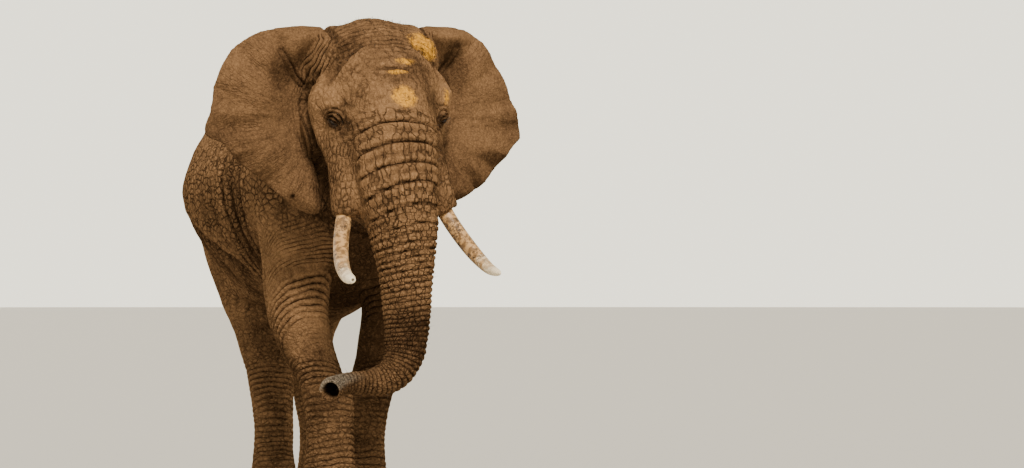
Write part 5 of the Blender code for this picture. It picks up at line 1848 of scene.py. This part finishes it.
def lashes(name, hide_frame, rng):
    """Long lashes along the upper lid, fanned along it and bending down."""
    seat, forward, up, out = hide_frame
    share = np.linspace(-0.95, 0.95, LASHES) + rng.normal(0, 0.02, LASHES)
    across = share * EYE_HALF_LENGTH
    above = EYE_HALF_HEIGHT * np.sqrt(1 - share**2) + 0.002
    ball = np.sqrt(np.clip((EYE_RADIUS + 0.008) ** 2 - across**2 - above**2, 0, None))
    roots = seat + across[:, None] * forward + above[:, None] * up + ball[:, None] * out
    ways = 0.9 * out + 0.25 * up + share[:, None] * 0.5 * forward + rng.normal(0, 0.10, (LASHES, 3))
    sags = np.array((0.0, 0.0, -0.75)) + rng.normal(0, 0.08, (LASHES, 3))
    lengths = rng.uniform(0.026, 0.040, LASHES)
    radii = rng.uniform(0.0006, 0.0009, LASHES)
    return strands(name, roots, ways, sags, lengths, radii, skin_map(roots, HEAD_MAP))


# ---- Studio ------------------------------------------------------------------------------------
def studio():
    """A wide pale floor under a pale sky that dims overhead, and two soft suns."""
    mesh = bmesh.new()
    bmesh.ops.create_circle(mesh, cap_ends=True, segments=64, radius=FLOOR_RADIUS)
    floor = object_of("floor", mesh)
    material, _, shader = new_material("floor", 0.9, 0.1)
    shader.inputs["Base Color"].default_value = (*FLOOR_COLOUR, 1.0)
    floor.data.materials.append(material)
    for name, heading, angle, power, colour in LAMPS:
        data = bpy.data.lights.new(name, "SUN")
        data.angle = math.radians(angle)
        data.energy = power
        data.color = colour
        lamp = bpy.data.objects.new(name, data)
        lamp.rotation_euler = Vector(heading).to_track_quat("Z", "Y").to_euler()
        bpy.context.scene.collection.objects.link(lamp)
    world = bpy.data.worlds.new("studio")
    world.use_nodes = True
    tree = world.node_tree
    heading = node(tree, "ShaderNodeTexCoord").outputs["Generated"]
    up = node(tree, "ShaderNodeSeparateXYZ", {0: heading}).outputs[2]
    sky = tree.nodes["Background"]
    sky.inputs["Color"].default_value = (*SKY_COLOUR, 1.0)
    tree.links.new(fitted(up, 0.12, 0.60, SKY_LOW, SKY_HIGH), sky.inputs["Strength"])
    bpy.context.scene.world = world


def camera(shift):
    """Low and far in front, with a long lens, looking a little to the right of the bull."""
    data = bpy.data.cameras.new("camera")
    data.lens = LENS
    data.clip_end = 300.0
    made = bpy.data.objects.new("camera", data)
    azimuth = math.radians(CAMERA_AZIMUTH)
    made.location = Vector((math.sin(azimuth), -math.cos(azimuth), 0.0)) * CAMERA_DISTANCE + shift
    made.location.z = CAMERA_HEIGHT
    made.rotation_euler = (math.radians(90 + CAMERA_PITCH), 0.0, azimuth - math.radians(CAMERA_YAW))
    bpy.context.scene.collection.objects.link(made)
    bpy.context.scene.camera = made


# ---- The bull ----------------------------------------------------------------------------------
# the solids that the skin stands for
FLESH = ["head", "neck", "jaw", "trunk_upper", "trunk_middle", "trunk_lower", "trunk_tip"]
FLESH += ["ear_left", "ear_right", "torso"]
FLESH += ["foreleg_left", "foreleg_right", "hindleg_left", "hindleg_right", "tail"]


def placed(piece, shift, material, slot, *nodes):
    """Carries a piece to the solids' place, gives it its finish, and hides the solids that it stands
    for.
    """
    piece.data.transform(Matrix.Translation(shift))
    piece.data.materials.clear()
    piece.data.materials.append(material)
    piece.data.shade_smooth()
    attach(piece, "root")
    if nodes:
        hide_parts(*nodes)


def main():
    """Makes every piece, set where the solid of the left eye lies."""
    eye_low, eye_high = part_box("eye_left")
    shift = (eye_low + eye_high) / 2 - turned(EYE_SEAT)
    shift.z = 0.0
    studio()
    camera(shift)
    skin = make_skin()
    hide = Hide(skin.data)
    rng = np.random.default_rng(HAIR_SEED)
    hair = hair_finish("bristle", HAIR_BLACK, HAIR_BROWN)
    wet_eye_and_painted_shade, ivory = eye_finish(), ivory_finish()
    extra = [(tail_hair(rng), ("tail_brush",)), (bristles(hide, rng), ())]
    for word, side in SIDES.items():
        sight = socket_frame(hide, side)
        extra.append((lashes("lashes_" + word, sight, rng), ()))
        placed(eye("eyeball_" + word, sight), shift, wet_eye_and_painted_shade, "eye", "eye_" + word)
        placed(tusk("ivory_" + word, side), shift, ivory, "ivory", "tusk_" + word)
    for piece, nodes in extra:
        placed(piece, shift, hair, "hair", *nodes)
    nails = nail_finish()
    for name in LEGS:
        nodes = [f"toenail_{name}_{k + 1}" for k in range(NAILS[name.split("_")[0]][0])]
        placed(toenails(name), shift, nails, "nail", *nodes)
    placed(skin, shift, hide_finish(), "hide", *FLESH)


def triangle_count(made):
    """How many triangles an object's mesh has."""
    made.data.calc_loop_triangles()
    return len(made.data.loop_triangles)


main()
